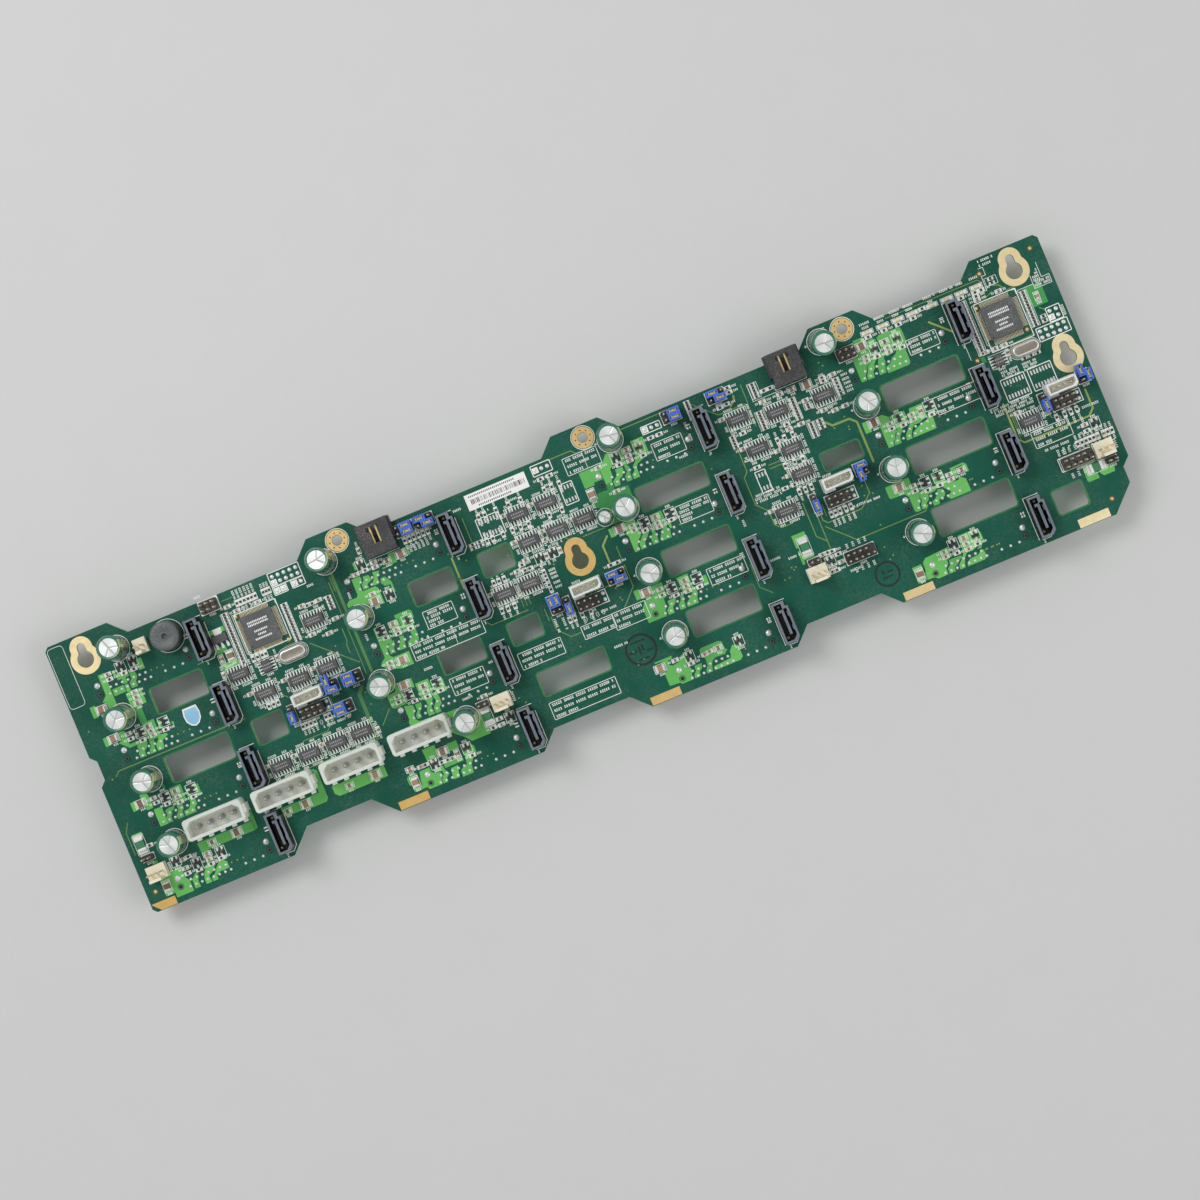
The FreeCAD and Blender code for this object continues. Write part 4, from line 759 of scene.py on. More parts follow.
# Copper poured under the lacquer: outlines in mm on the board, brighter ones first, then darker ones
pourText = """
-199.1,39.4 -196.4,39.4 -196.4,25.3 -200,25.3 -200.2,28.2 -201.5,28.6 -199.1,30.9; -193.2,38.9 -192.2,38.9
-192.2,36.6 -193.2,36.6; -207.2,28.7 -204.9,28.7 -204.9,23.9 -207.2,23.9; -192.3,37.2 -187.4,37.2 -187.4,34.5
-189,34.5 -189,32.2 -190.6,32.2 -190.6,34.5 -192.3,34.5; -195.9,32 -190.9,32 -190.9,29.1 -195.9,29.1; -190.6,31.8
-189,31.8 -189,28.6 -190.6,28.6; -186.9,36 -184.6,36 -184.4,33 -185.6,31.5 -185.6,29.4 -188.3,29.4 -188.3,31.8
-187,33; -182.6,39.6 -180.2,39.6 -180.2,35 -182.6,35; -191.5,28.4 -185,28.4 -185,22 -191.5,22; -207.1,15.2
-204.9,15.2 -204.9,11.5 -207.1,11.5; -200.3,15 -197.8,15 -197.8,9 -194.5,9 -194.5,7.6 -198.3,7.6 -201.8,11.1
-200.3,11.5; -194.4,9 -190.7,9 -191,6.8 -191.8,5.2 -193.2,4.2 -193.2,2.1 -195.9,2.1 -195.9,4 -195.2,5.2 -195.4,6.8;
-190,14.8 -185,14.8 -185,7.2 -190,7.2; -190.2,7 -188,7 -188.9,4.5 -188.9,2.1 -191.4,2.1 -191.3,3.8 -190,5;
-184.2,13.5 -182.8,13.5 -182.8,10 -184.2,10; -179,11.3 -177.8,10.5 -178.5,8.7; -185.5,8 -182.3,7.5 -182.1,6.7
-184.8,5.5 -185.6,2.1 -188.2,2.1 -188.2,4.5 -186.8,6; -206.9,-13 -205,-13 -205,-16.8 -206.9,-16.8; -202.2,-11.3
-199.2,-12 -198.9,-13.5 -198.9,-18.2 -201.3,-18.3 -202.3,-17; -199.1,-19 -195.7,-19 -195.7,-26.4 -199.1,-26.4;
-195,-21.2 -193.5,-20.6 -191,-20.6 -191,-21.5 -192.6,-22.5 -192.6,-23.3 -193.6,-24.2 -193.6,-26.3 -195.6,-26.3
-195.6,-24 -194.8,-23; -189.8,-20.8 -187.5,-20.8 -187.5,-23 -188.6,-24 -188.6,-26.3 -191.4,-26.3 -191.4,-24.8
-189.9,-23; -184.3,-15 -183.4,-18 -181.9,-21 -181.9,-23.5 -183.3,-24.5 -183.3,-26.3 -188,-26.3 -188,-24.3 -185.6,-24
-184.2,-22; -180.5,-16 -178.6,-16 -178.6,-20.4 -180.5,-20.4; -190.2,-13.5 -185.2,-13.5 -185.2,-20.6 -190.2,-20.6;
-203.4,-44.4 -197.8,-44.4 -197.8,-49.2 -196.6,-50.5 -196.5,-55.3 -203.9,-55.3 -203.9,-53.2 -207.9,-53.2 -207.9,-45.8
-203.6,-46.3; -195.6,-51 -193.6,-49 -192.8,-49 -192.6,-50.5 -193.4,-52 -193.3,-54.8 -195.7,-54.8; -189.9,-50
-188.2,-48 -187.1,-46.5 -185,-49.2 -186.5,-51 -188.6,-52 -188.3,-54.8 -190.8,-54.8 -190.8,-52.5; -184.5,-50
-182.8,-48.4 -181,-48.4 -179.7,-49.5 -179.7,-52.2 -184,-52.2 -185.6,-53 -185.6,-54.8 -187.9,-54.8 -187.9,-53
-186,-52; -211.5,-25.2 -207.2,-25.2 -207.2,-26.8 -211.5,-26.8; -208,-38 -205.7,-38 -205.7,-39.3 -208,-39.3;
-188,-38.2 -164.5,-38.2 -164.5,-42.2 -184.9,-42.2 -184.9,-45 -188,-45; -165.3,-33.5 -162.9,-33.5 -162.9,-41.5
-164.3,-42.2 -164.3,-37.9 -165.3,-37.9; -151.5,-38.2 -134.8,-38.2 -134.8,-28.5 -133.4,-28.5 -132.2,-29.6
-132.2,-41.5 -133.3,-42.7 -140.5,-42.7 -142.5,-42.1 -151.5,-42.1; -129.1,-38 -106.5,-38 -106.5,-42.6 -127.5,-42.6
-129.1,-41; -151.5,38.6 -149.5,38.6 -149.5,36.5 -151.5,36.5; -146.7,38.6 -144.6,38.6 -144.6,36.5 -146.7,36.5;
-151.5,31 -146.7,31 -146.7,28.5 -151.5,28.5; -151.7,24.3 -144.5,24.3 -144.5,21.9 -151.7,21.9; -143.8,39.6
-142.3,39.6 -142.3,38.7 -143.8,38.7; -144,29.5 -141.5,29.5 -141.5,28.5 -144,28.5; -87,41.5 -85.8,41.5 -85.8,38.5
-87,38.5; -89.6,38 -88.2,38 -88.2,36.5 -89.6,36.5; -89.8,35.6 -86.2,35.6 -85.9,34.2 -87.4,32.2 -87.4,29.6 -82,29.6
-81,28.4 -81,21.9 -84.5,22 -87.5,24 -90,25.6 -95.3,25.6 -95.3,27 -94,28.2 -90.4,28.2 -89.8,29.2; -85.2,35 -82.8,34.8
-82.2,32.6 -84.5,31.5 -84.5,30 -86.8,30 -86.8,32 -85.2,33.7; -80.9,35.2 -78,34.7 -79.8,32.5 -79.8,30.1 -82.2,29.9
-82.4,31.2 -80.9,33; -78.8,31.7 -76.9,31.7 -75.1,28.8 -75.1,24.5 -76,24.5 -76,28 -78.3,28.2 -79.3,30; -80.2,41.2
-66.9,41.2 -66.9,40.6 -80.2,40.6; -72.5,39.6 -70,39.6 -70,35.2 -72.5,35.2; -64.8,39.5 -63.8,39.5 -63.8,36 -64.8,36;
-76.5,35.3 -72,35.3 -72,34.7 -76.5,34.7; -89.4,13.8 -88.4,13.8 -88.4,10 -83.9,9.5 -84.2,6.5 -86.5,6.2 -87.3,4
-87.3,1.6 -86.2,0.5 -79.5,0.5 -79.5,-5 -84.5,-5 -88.9,-3.5 -92.2,-1 -91,0.6 -89.4,1.5; -86.3,6 -83.4,6.8 -83.6,5
-84.5,3.8 -84.5,2 -86.7,2 -86.7,4.5; -83,14 -78.7,14 -78.7,8 -83,8; -80.8,7.5 -79,7 -79.7,4 -79.9,2 -82.5,2
-82.5,3.5 -81,5.2; -79.5,15.9 -73.3,15.9 -72.3,15 -72.3,12.3 -73.4,12 -73.6,4.2 -74.3,2.5 -78,1.5 -79,2 -78.3,4
-75.8,5 -76,8.5 -78.3,8.5 -78.5,14 -79.5,14.5; -84,-9.9 -82.9,-9.9 -82.9,-13.8 -84,-13.8; -90.5,-9.5 -88.5,-9.5
-88.5,-14 -88,-18.8 -93.5,-18.8 -94.6,-18 -94.6,-13 -92.3,-12.8 -90.6,-12.5; -89.9,-19.2 -86.3,-20.2 -86.3,-22.5
-87.4,-24 -87.3,-26.3 -86.3,-27.2 -82,-27.4 -82,-28.6 -90.5,-28.6 -90.5,-26 -89.9,-25; -85.5,-20.3 -82.9,-20.3
-83.2,-22 -84.9,-24 -84.9,-26.2 -86.8,-26.2 -86.8,-24.5 -85.5,-23; -82.3,-12.7 -76.7,-12.7 -76.7,-18 -77.7,-19
-78.1,-21 -79.8,-24 -79.3,-26.8 -82,-26.8 -82,-24.5 -80.8,-22.5 -80.8,-21 -82.3,-18; -71.9,-14 -71.3,-14.5 -71.3,-20
-75.3,-20 -75.3,-23.8 -76.7,-25 -76.7,-26.9 -79,-26.9 -79,-24.5 -77,-22 -77.6,-20.3 -75.9,-18.5 -75.9,-17; -90,-38.2
-84.6,-38.2 -84.6,-42.8 -88.9,-43 -89.6,-45; -79.9,-39.8 -75.8,-39.8 -75.8,-43 -79.9,-43; -94.2,-45.8 -89.9,-45.8
-89.9,-47.7 -88.9,-48.7 -86.5,-49.2 -86,-50.8 -87.2,-52 -87.3,-54 -93,-54 -93.5,-52.8 -99,-52.8 -99,-51.5
-95.2,-51.5 -95.2,-50; -100,-46.8 -99.2,-45.8 -95.6,-45.8 -95.6,-46.8 -99,-46.8 -99,-50 -100,-49.5; -88.9,-47.3
-84.5,-47.3 -84.5,-49 -83.2,-51 -85,-52.5 -85,-54 -87,-54 -87,-52.3 -85.5,-50.5 -85.8,-49 -88,-48.5; -84,-46.5
-76,-46.5 -76,-48.5 -84,-48.5; -82,-49.5 -78.9,-49.3 -79.5,-51 -79.9,-54 -82.5,-54 -82.5,-52.5; -70.8,-43.5
-70,-44.5 -70,-47.2 -71,-48 -72.5,-49.5 -73.7,-51.2 -74.1,-54.5 -78.7,-54.5 -78.7,-52 -77.5,-51 -75.5,-50.5 -75,-48
-75,-45.5; -76.2,-28.2 -70.7,-28.2 -66,-30.5 -61.7,-33.5 -61.7,-42.6 -69.9,-42.6 -72.2,-39.8 -76,-36.6; 10.7,39.8
18.9,39.8 18.9,34 14.9,34 14.9,33 10.7,33; 19.4,40 21.5,40.5 23.3,42.7 25.5,42.9 25,38 23,36.5 22.8,33.5 21.8,32
21.5,28.5 19.1,29.3 19.1,38; 24.7,35.6 27.8,35.6 27.8,34.3 26.4,32 25,31.5 24.5,29.2 22.2,29.2 22.2,31.5 24,32.8
24.7,34; 28.9,42.8 30,42.8 30,35 30.5,34.6 29.9,32.9 29.7,29.2 27.4,29.2 27.4,31.5 28.8,33 28.6,35; 34.6,43.7
39.9,43.7 39.9,36.5 35.8,35 33.9,34.3 33.1,33 32.9,29.2 30.3,29.2 30.3,31 31.9,32.5 31.7,34 33.6,35.8 34.4,38;
12.9,14.6 15,14.6 15,11 12.9,11; 19.4,14.5 24.3,14.3 24.3,7.5 22.8,6.2 21.6,4.3 21.6,2 19.5,2 19.5,9 18.6,10.2
19.4,11; 25.3,7.8 28,7.8 26.2,5.7 24.6,4.2 24.5,2 22.3,2 22.3,4.2 23.6,6; 29,8.5 30,7.2 30.2,5.5 29.9,2 27.4,2
27.4,4.5 28.7,6.2 28.5,7.5; 30.3,13.5 35.4,13.5 35.4,8 35,6.2 35.9,5 35.4,3.5 35.4,2 31,2 31,3.5 32.2,5.5 33.5,7
30.3,7.2; 36,8.5 37,8.5 37,5.5 36,5.5; 12.7,-12.1 15.1,-12.1 15.1,-16.1 12.7,-16.1; 13.6,-20 15.5,-17.2 19.5,-16.3
19.5,-13 24.6,-13 24.6,-19 22.9,-19.5 22.7,-22.8 21.7,-24.3 21.5,-26.3 13.6,-26.3; 23.8,-21 27.6,-20.7 26.4,-23
25,-24 24.8,-26.3 22.3,-26.3 22.3,-24.5 23.9,-22.8; 29.4,-21 31,-20.5 30.2,-22.5 29.8,-26.3 27.4,-26.3 27.4,-24.2
28.8,-22.8; 30.5,-13.8 35.4,-13.8 35.4,-19 36.3,-20.5 36.3,-22.5 35.4,-24.2 35.2,-26.3 30.5,-26.3 30.5,-24.8
32.9,-23 34.5,-21.5 31,-20.8; 40,-17 42,-17 42,-20.9 40,-20.9; 9.5,-41.7 17,-41.7 16.6,-43 14.8,-43 14.8,-45
16,-45.6 18.8,-45.2 20.5,-43 22,-43 22,-46.5 19.7,-47.5 22,-48.6 22.3,-50 21.6,-52 21.6,-53.8 16.8,-53.8 16,-53
11.7,-52.7 11.7,-46.8 13.2,-46.5 13.2,-42.7 9.5,-42.3; 23.8,-49 27,-49 26.3,-51 24.9,-52 24.7,-53.8 22.3,-53.8
22.3,-52.5 23.7,-51; 28,-44 29,-43.4 36.5,-43.4 37.6,-44.2 37.9,-47.5 38.6,-47.8 37,-49.3 33,-49 31.2,-50 30.3,-52
30,-53.8 27.5,-53.8 27.5,-52.5 28.8,-50.8 29,-48 27.8,-46; 39.2,-49 41,-47 43.2,-48 43.2,-52.8 42,-53.8 31,-53.8
31,-52.2 38.5,-51.6 39,-50.5; 79.3,-16.1 84.9,-16.1 84.9,-18.3 80.5,-18.3 80.5,-21.4 79.3,-21.4; 79.3,-22.7
80.5,-22.7 80.5,-25.4 84.9,-25.4 84.9,-27 80.5,-27 80.5,-28.5 79.3,-28.5; 196.4,-34.5 201.3,-34.5 201.3,-41.7
196.9,-41.7 196.4,-41.2; 202.3,-38.5 208.6,-38.5 208,-41.5 203.4,-41.5 202.3,-40.2; 128.8,39.7 131.6,39.7 131.6,46.3
135.8,46.3 136.3,45 136.3,37.6 135.6,35.9 133,34.8 132.4,33.2 131.3,31.6 131.1,29.6 129.2,29.6 128.8,30; 131.6,29.6
134.3,29.6 134.6,31.8 135.8,33 136.1,34.4 138,36.6 138.6,38.6 137.1,38.4 136,36 133.3,34.6 132.7,32.8 131.7,31.3;
139.2,37.8 140.4,43.4 139.2,44.4 136.6,44 136.6,39.2 138.9,39.1 138.8,36.8 137.9,34.8 137,32.5 136.5,29.6 139.4,29.6
139.6,31.4 140.6,33.5 140.6,35.4 142,36.9 142,38; 140.9,43.8 142.3,44.6 150.9,44.4 151.4,42.6 151.3,38 149.9,36.6
149.8,29.9 148.9,29 140,29 139.9,31.6 142.2,32.4 143.4,34 145.4,35 146.8,36.8 146.6,38.4 145.6,37.4 144.4,35.9
142.3,35.4 141.1,36.2 142.6,37.4 141,39.4; 122.5,14.7 125.1,14.7 125.1,10.1 122.5,10.1; 128.9,14.7 131.2,14.7
133.3,13 133.3,7.2 135.3,6.4 133.4,5.9 132.7,4.5 131.4,3 131.1,1.4 128.7,1.4 128.7,10.2 125.6,10.2 125.6,10.6
128.9,10.8; 133.6,12.9 139.9,12.9 139.9,8.4 138.8,7.3 136.7,6.6 135.9,5.4 134.5,3.8 134.2,1.4 131.6,1.4 131.6,2.8
133.2,4.8 134.9,6.6 133.6,7.8; 142,12.9 147.6,12.9 147.6,7.5 145.4,6.6 143.6,6 141.6,6.2 140.5,5.2 139.2,3.2
138.9,1.4 136.5,1.4 136.9,3.6 138.7,5.6 140.4,7.6; 139.4,1.5 149.2,1.5 149.5,4 149.5,7 152.5,8.9 150.6,9.2 148.5,8.6
148.1,7 146.9,6.2 144,5.3 141.7,4.4 139.9,3.4; 121.2,-12.6 125.1,-12.4 131.3,-12.3 131.3,-16.2 133.4,-16.6
133.2,-19.9 132.3,-21.5 132.4,-23 131.3,-24 131.2,-26.4 129.2,-26.4 128.6,-25.6 128.6,-19.6 127.3,-17.9 121.7,-17.7
121.2,-17.2; 133,-20 134.5,-19 138.6,-19 140.6,-20.4 139,-21.4 136.1,-21.6 135.5,-23.6 134.2,-24.5 134,-26.2
131.8,-26.4 131.8,-24.6 132.8,-23 132.6,-21.4; 140.2,-15.2 144.6,-15.2 144.7,-19.4 147.4,-20.8 149.4,-20.9 150.2,-20
151.1,-20.6 152.3,-21.4 152.4,-26.8 143.9,-26.8 142.7,-25.6 145,-24 143.3,-22.2 142.4,-21 140.2,-20.6; 140,-21.2
139.4,-22.8 138.1,-24.2 136.5,-24.8 136.5,-26.8 139,-26.8 139.3,-25.2 141.8,-24.8 142.6,-23.4 142,-21.6; 147.8,-15.3
153.5,-15.1 154.6,-16.2 154.6,-19.2 153.2,-19.2 152.9,-15.9 149.9,-16 149.7,-19.5 148.1,-19.7; 118.8,-46.3
122.7,-46.2 122.7,-53 118.9,-53; 125.2,-44.6 135.2,-43.9 135.2,-48 133,-48.6 132.8,-50.2 131.4,-51.6 131.2,-54.1
127.1,-54.2 125.8,-53.1 122.9,-53 122.9,-50.1 123.5,-49.4 123.6,-46; 133.6,-48.9 138.7,-49 139.4,-50.4 138,-50.2
136,-52 134.8,-52.4 134.4,-54.2 131.8,-54.1 131.9,-52 133.3,-51; 140.5,-41.4 146.6,-41.4 146.7,-47.9 144,-49
141.2,-49 139.9,-50.6 139.1,-52.3 138.6,-54.2 136.5,-54.2 136.6,-52.4 138.2,-50.8 139.7,-49 140.2,-46.4; 145.6,-49.2
147.3,-49.5 148,-48.5 149.5,-46.9 149.5,-43.6 148.6,-41.6 146.9,-41.6 147,-48.2; 140.2,-52.6 141.6,-51.7 145.3,-51.4
147.3,-49.8 148,-50.6 148.1,-53.5 146.8,-54.2 139.6,-54.2
"""
darkPourText = """
-190.5,22 -187.7,22 -187.7,14.5 -190.5,14.5; -192.3,-11 -191.3,-11 -191.3,-15 -192.3,-15;
14.9,29.5 10.7,28 10.7,24.5 13,24 15.5,19 15,15.6 20,15.6 20.5,25 27.2,22 27.2,27.9 23.8,28.4 21.5,28.4 21.5,31.5
19.1,31.5 18.9,29.3; 201.7,39.4 209.3,39.4 209.3,30.8 203.4,30.8 201.7,33; 175.8,20.6 177.4,20.6 177.6,18 176,18
"""
pours, darkPours = outlines(pourText), outlines(darkPourText)
# Overlapping sheets lie at slightly different levels
pourShapes = [area(points, 0.02 + 0.005 * (n % 5)) for n, points in enumerate(pours + darkPours)]
pourTone = [rng.uniform(0.6, 1.0) for points in pours] + [rng.uniform(0.05, 0.3) for points in darkPours]
addPiece("copperPours", shifted(joined(*pourShapes), z=top + 0.005), mats["pour"],
         tone=np.repeat(pourTone, [len(shape[0]) for shape in pourShapes]))

keyholes = np.array([[-201.03, 47.31], [-2.01, 7.37], [201.53, 47.31], [208.23, 7.37]])
# Bright lacquer line round every airflow window and notch: column, left and right, row, upper and lower edge
windowTable = """0 -0.7 21.6 0 -9.5 -19.9, 0 -5.8 21.6 1 -9.1 -19.8, 0 32.1 45.1 1 -9.1 -19.2, 1 2.7 20.9 0 -10.3 -20.1,
1 2.8 21.0 1 -12.7 -21.9, 1 32.8 45.9 0 -10.3 -20.1, 1 32.8 45.9 1 -12.7 -21.9, 1 36.4 65.2 2 -7.5 -17.2,
2 -8.1 20.8 0 -10.4 -20.1, 2 -8.1 20.8 1 -9.6 -20.3, 2 -8.1 20.8 2 -7.5 -18.3, 2 65.3 81.6 1 2.0 -5.3,
3 -11.4 21.4 0 -10.2 -20.6, 3 -11.4 21.4 1 -9.1 -20.3, 3 -11.4 21.4 2 -7.5 -18.9, 3 35.1 47.8 2 -19.4 -29.3"""
windows = np.array([[*site(column, left, row, lower), *site(column, right, row, upper)]
                    for column, left, right, row, upper, lower in places(windowTable)])
borders = [frame4(x0 - 0.6, y0 - 0.6, x1 + 0.6, y1 + 0.6, 0.58, 0.03, 1.5, 3) for x0, y0, x1, y1 in windows]
addPiece("windowBorders", bothSides(joined(*borders), 0.002), mats["trace"], tone=0.08)


def onBoard(points):
    # True where a point is clear of every airflow window and keyhole by a margin
    margin = 1.0
    x, y = points[:, 0], points[:, 1]
    clear = np.ones(len(points), bool)
    for x0, y0, x1, y1 in windows:
        clear &= (x < x0 - margin) | (x > x1 + margin) | (y < y0 - margin) | (y > y1 + margin)
    for holeX, holeY in keyholes:
        clear &= np.hypot(x - holeX, y - holeY - 2) > 8.0 + margin
    return clear


# Traces under the lacquer: width and share of the lighter colour, then corner points
traceTable = """
0.45 0.5 -206.8,0.2 -206,0.7 -151,0.7; 0.4 0.5 -206.8,0 -208,-1; 0.4 0.4 -211,-20 -213,-23.5 -213,-33; 0.4 0.5
-151,-27.6 -104,-27.4; 0.4 0.4 -98.7,38 -98.7,-1; 1.2 0.3 -96.4,41 -96.4,-1; 0.4 0.4 -97.5,40 -97.5,34; 1.5 0.2
-102.5,-5.5 -104.6,-8 -104.6,-27; 0.4 0.5 -115,18.5 -99.5,4; 0.4 0.5 -135.5,6 -131.5,2; 0.3 0.6 -141.5,47.7
-137,47.7; 0.3 0.5 -125,21.2 -120,21.2; 0.4 0.4 -133.8,-18.2 -132.5,-16.7 -122,-16.7 -117.3,-12.5; 0.4 0.5 -95.7,-18
-100.5,-23; 0.4 0.5 -100.8,19 -100.8,14 -101.6,12 -101.6,9; 0.8 0.9 -49.3,28 -49.3,15; 0.4 0.5 -39.3,41 -39.3,30.5;
0.4 0.5 -46.5,-0.5 -44.8,-2.8 -29,-2.8; 0.4 0.5 -22.8,-5 -22.8,-10; 0.4 0.5 -21.5,-9 -21.5,-14.5 -17,-19.3
-13,-19.3; 0.8 1 11.5,12.3 8.5,9.3 8.5,2.3; 0.4 0.5 13.4,7 13.4,1; 0.4 0.6 13.5,-1 13.5,-10.2 7,-16.9; 0.4 0.5
3,-6.3 6.8,-6.6; 0.4 0.6 1,49.4 11,49.4 12.5,48; 0.4 0.6 32,49.5 49,49.5; 0.4 0.4 2.5,15.8 12,15.8; 0.4 0.5
62.8,47.8 71.2,39.8 82.5,39.8 83.3,38.5 83.3,30; 0.8 1 79.5,44.5 79.2,43 77,41.2; 0.4 0.5 83.8,47.5 83.8,40; 0.4 0.6
73,33 73,14.5 71,12.5 71,1 75,-3.3 75,-9.2 77.3,-11.4 81.8,-11.4 83.3,-10; 0.4 0.5 74,20 78,16; 0.4 0.5 85.7,25.5
85.7,20; 0.4 0.5 82,12 87,12; 0.4 0.5 82,13.5 86.5,13.5; 0.4 0.6 88.6,-5.5 88.6,-20 91.9,-23.3; 0.4 0.6 92,-12
92,-27; 0.4 0.5 95.5,-9 95.5,-14; 0.4 0.7 93.5,-13 93.5,-15 95,-16.7 109.5,-16.7 111,-15.5 114.8,-12 114.8,-4
116.6,-2; 0.4 0.6 93.5,-17.8 101.7,-26 103,-27.3 132.5,-27.3 134.3,-25.5; 0.9 0.8 109.3,20.6 111.5,18.4 118.6,18.3
121,16 121,-1; 0.8 1 162.5,41.5 170,34.2; 0.8 1 177.2,0 177.2,-15; 0.7 1 177.2,-15 179.3,-17.3 207,-17.4; 0.8 0.9
207,-17.3 209.4,-15 209.4,-7; 0.3 0.6 178.4,-2 178.4,-15.4; 0.3 0.6 179.1,-3 179.1,-14.5; 0.3 0.6 147,49.6
186.5,49.6 188,48; 0.35 0.6 190,20.8 199,21.2; 0.4 0.7 190.3,45.8 193.5,44.6 195.2,42.6; 0.3 0.6 192.8,-9 192.8,-12
195,-13.4; 0.3 0.6 190.2,43.2 186,41.4; 0.4 0.6 205,30 206.8,28.6; 0.3 0.5 195.5,41.6 199,41.6; 0.4 0.4 60,-20
60,-30 64,-34; 0.4 0.4 -50,20 -46,16; 0.4 0.4 -160,28 -154,28 -152,30; 0.35 0.5 -128,-5 -128,-9; 0.35 0.5 -116,-5
-116,-9; 0.35 0.5 -120,25 -116,21.5; 0.3 0.5 -30,8 -30,-1; 0.3 0.5 -28.5,8 -28.5,-1; 0.3 0.5 -27,8 -27,-1; 0.3 0.6
-6,20 -2,16
"""
traces, traceTones = [], []
for part in traceTable.split(";"):
    width, share, *points = part.split()
    traces.append(strokes(outlines(" ".join(points)), float(width), lacquerHeight))
    traceTones.append(np.full(len(traces[-1][0]), float(share)))
addPiece("boardTraces", shifted(joined(*traces), z=top), mats["trace"], tone=np.concatenate(traceTones))

# Small vias: single ones, three beside each bay's upper row, eight round each screw hole
viaText = """-211.2 20, -209.8 -1.5, 74.7 -27.7, 75.3 -28.9, 76.4 -28.1, 70.3 -31.2, 72.4 -31.1, 7 -12.4, 7.4 -13.6,
6.8 -8.2, 3.5 -34.5, 6.3 -38.8, 3.4 -40.1, -15.2 -24.4, -101.7 -13.3, -101.9 -8.2, 115.9 43.6, 117 41.9, 123.5 37,
121.4 37.1, 117.2 19.8, 111.8 17.1, 117.2 15.6, 117.1 14.4, 112.5 -12.3, 116 -12.7, 113.9 -25.5, 112 -34.3,
113.9 -38.6, 112.2 -39.7, 113 -8.3, 151.1 6.9, 153.6 -22.6, 153.6 -50.6, 148.9 -50.6, 151.3 -50.6, 182.8 5.6,
184.2 7, 194.2 6.6, 196.4 6.9, 185.8 -5.2, 187.3 -5.2, -52 44, -50 30, -44.2 25, -28 20.4, -14.6 8.4, -12.4 10.1,
-6 4.9, 4 15.9, 5.6 18.9, 60.4 21, 62 26.4, -160.6 20, -158.2 13, -156.7 -10.4, -120.4 -8, -117.6 -8, -106 13.6,
-104.4 -2.6, -109.3 44, -98.4 -30.8, -46 -34, -44 -36.6"""
screwHoles = np.array([[-89.0, 52.4], [17.7, 52.4], [129.6, 52.4]])
around8 = np.arange(8) / 8 * 2 * np.pi
screwVias = (screwHoles[:, None] + 3.1 * np.stack([np.cos(around8), np.sin(around8)], -1)[None]).reshape(-1, 2)
viaShape = lathe([(0.34, 0), (0.3, 0.05), (0.16, 0.05), (0.12, 0.02)], 10, False)
viaSpots = np.vstack([places(viaText), upperVias])
addPiece("smallVias", stamp(viaShape, viaSpots, height=top + padLift), mats["trace"], tone=0.85)
addPiece("screwVias", bothSides(stamp(viaShape, screwVias), 0.04), mats["amber"])

# Gold: collars of the keyholes, rings of the screw holes, pads along the lower edge, test points

def keyOutline(big, small, z):
    # A big circle and a smaller one above it, joined where they meet
    rise = 2 * pitch
    turn = np.linspace(-np.pi / 2, 1.5 * np.pi, 60, endpoint=False)
    across, lift = np.cos(turn), np.sin(turn)
    inside = small ** 2 - (rise * across) ** 2
    second = rise * lift + np.sqrt(np.maximum(inside, 0))
    neck = np.where((lift > 0) & (np.abs(across) > 1e-6), small / np.maximum(np.abs(across), 1e-6), 0)
    neck = np.where(neck * lift < rise, neck, 0)
    reach = np.maximum(big, np.where(inside > 0, np.maximum(second, 0), 0))
    reach = np.where(lift > 0, np.maximum(reach, neck), reach)
    return np.column_stack([across * reach, lift * reach, np.full(len(turn), z)])


collar = loft([keyOutline(6.15, 4.65, 0), keyOutline(6.12, 4.62, 0.05), keyOutline(3.4, 1.82, 0.05),
               keyOutline(3.36, 1.78, 0)], False, False)
edgePads = [(-106.9, -54.1, -94.1, -57.5), (2.5, -54.1, 15.15, -57.5), (111.7, -54.1, 124.45, -57.5),
            (186.7, -53.9, 199.8, -57.5)]
cornerPad = [(-211.6, -57.5), (-204.6, -57.5), (-204.6, -54.1), (-214.9, -54.1)]
padShape = joined(boxes(edgePads, 0.05), area(cornerPad, 0.05))
gold = [stamp(collar, keyholes), stamp(ring(4.4, 2.13, 0.05, 40), screwHoles), padShape]
# The pads shine more towards the right end
goldTones = [toneOf(gold[0], (0.75, 0.1, 0.8, 0.85), len(keyholes)), np.full(len(gold[1][0]), 0.25),
             np.clip((padShape[0][:, 0] + 130) / 330, 0.1, 1.0) ** 2]
testPoints = places("""-211.2 -49.8, -138.6 39.8, -122.3 23.3, 188.3 51.5, 210.6 53.2, 181.8 39.3, 197.3 23.9,
174.4 19.9, 202.6 -51.2""")
pointDomes = stamp(dome(0.62, 0.12, 14), testPoints, height=top + 0.05)
addPiece("goldPads", joined(*[bothSides(shape, 0.01) for shape in gold], pointDomes), mats["palegold"],
         tone=np.concatenate([*[np.tile(tone, 2) for tone in goldTones], np.full(len(pointDomes[0]), 0.2)]))
addPiece("testPointRings", stamp(ring(1.15, 0.6, 0.04, 20), testPoints, height=top + 0.01), mats["amber"])

# Bare tinned pads: footprints with nothing on them, and the pads under the leads
footprints = []
for x, y, count, step, offset, length in ((-29.9, 34, 7, pitch / 2, 2.8, 1.9), (184.6, 4.4, 7, pitch / 2, 2.8, 1.9),
                                          (196.0, 4.4, 7, pitch / 2, 2.8, 1.9), (4.1, 34.1, 4, 1.3, 2.7, 1.7),
                                          (77.6, 8.5, 4, 1.3, 2.7, 1.7)):
    for turn in (90, 270):
        footprints.append(stamp(plate(length, 0.65, 0.07, 0.1), leadRow(x, y, count, step, turn, offset), turn))
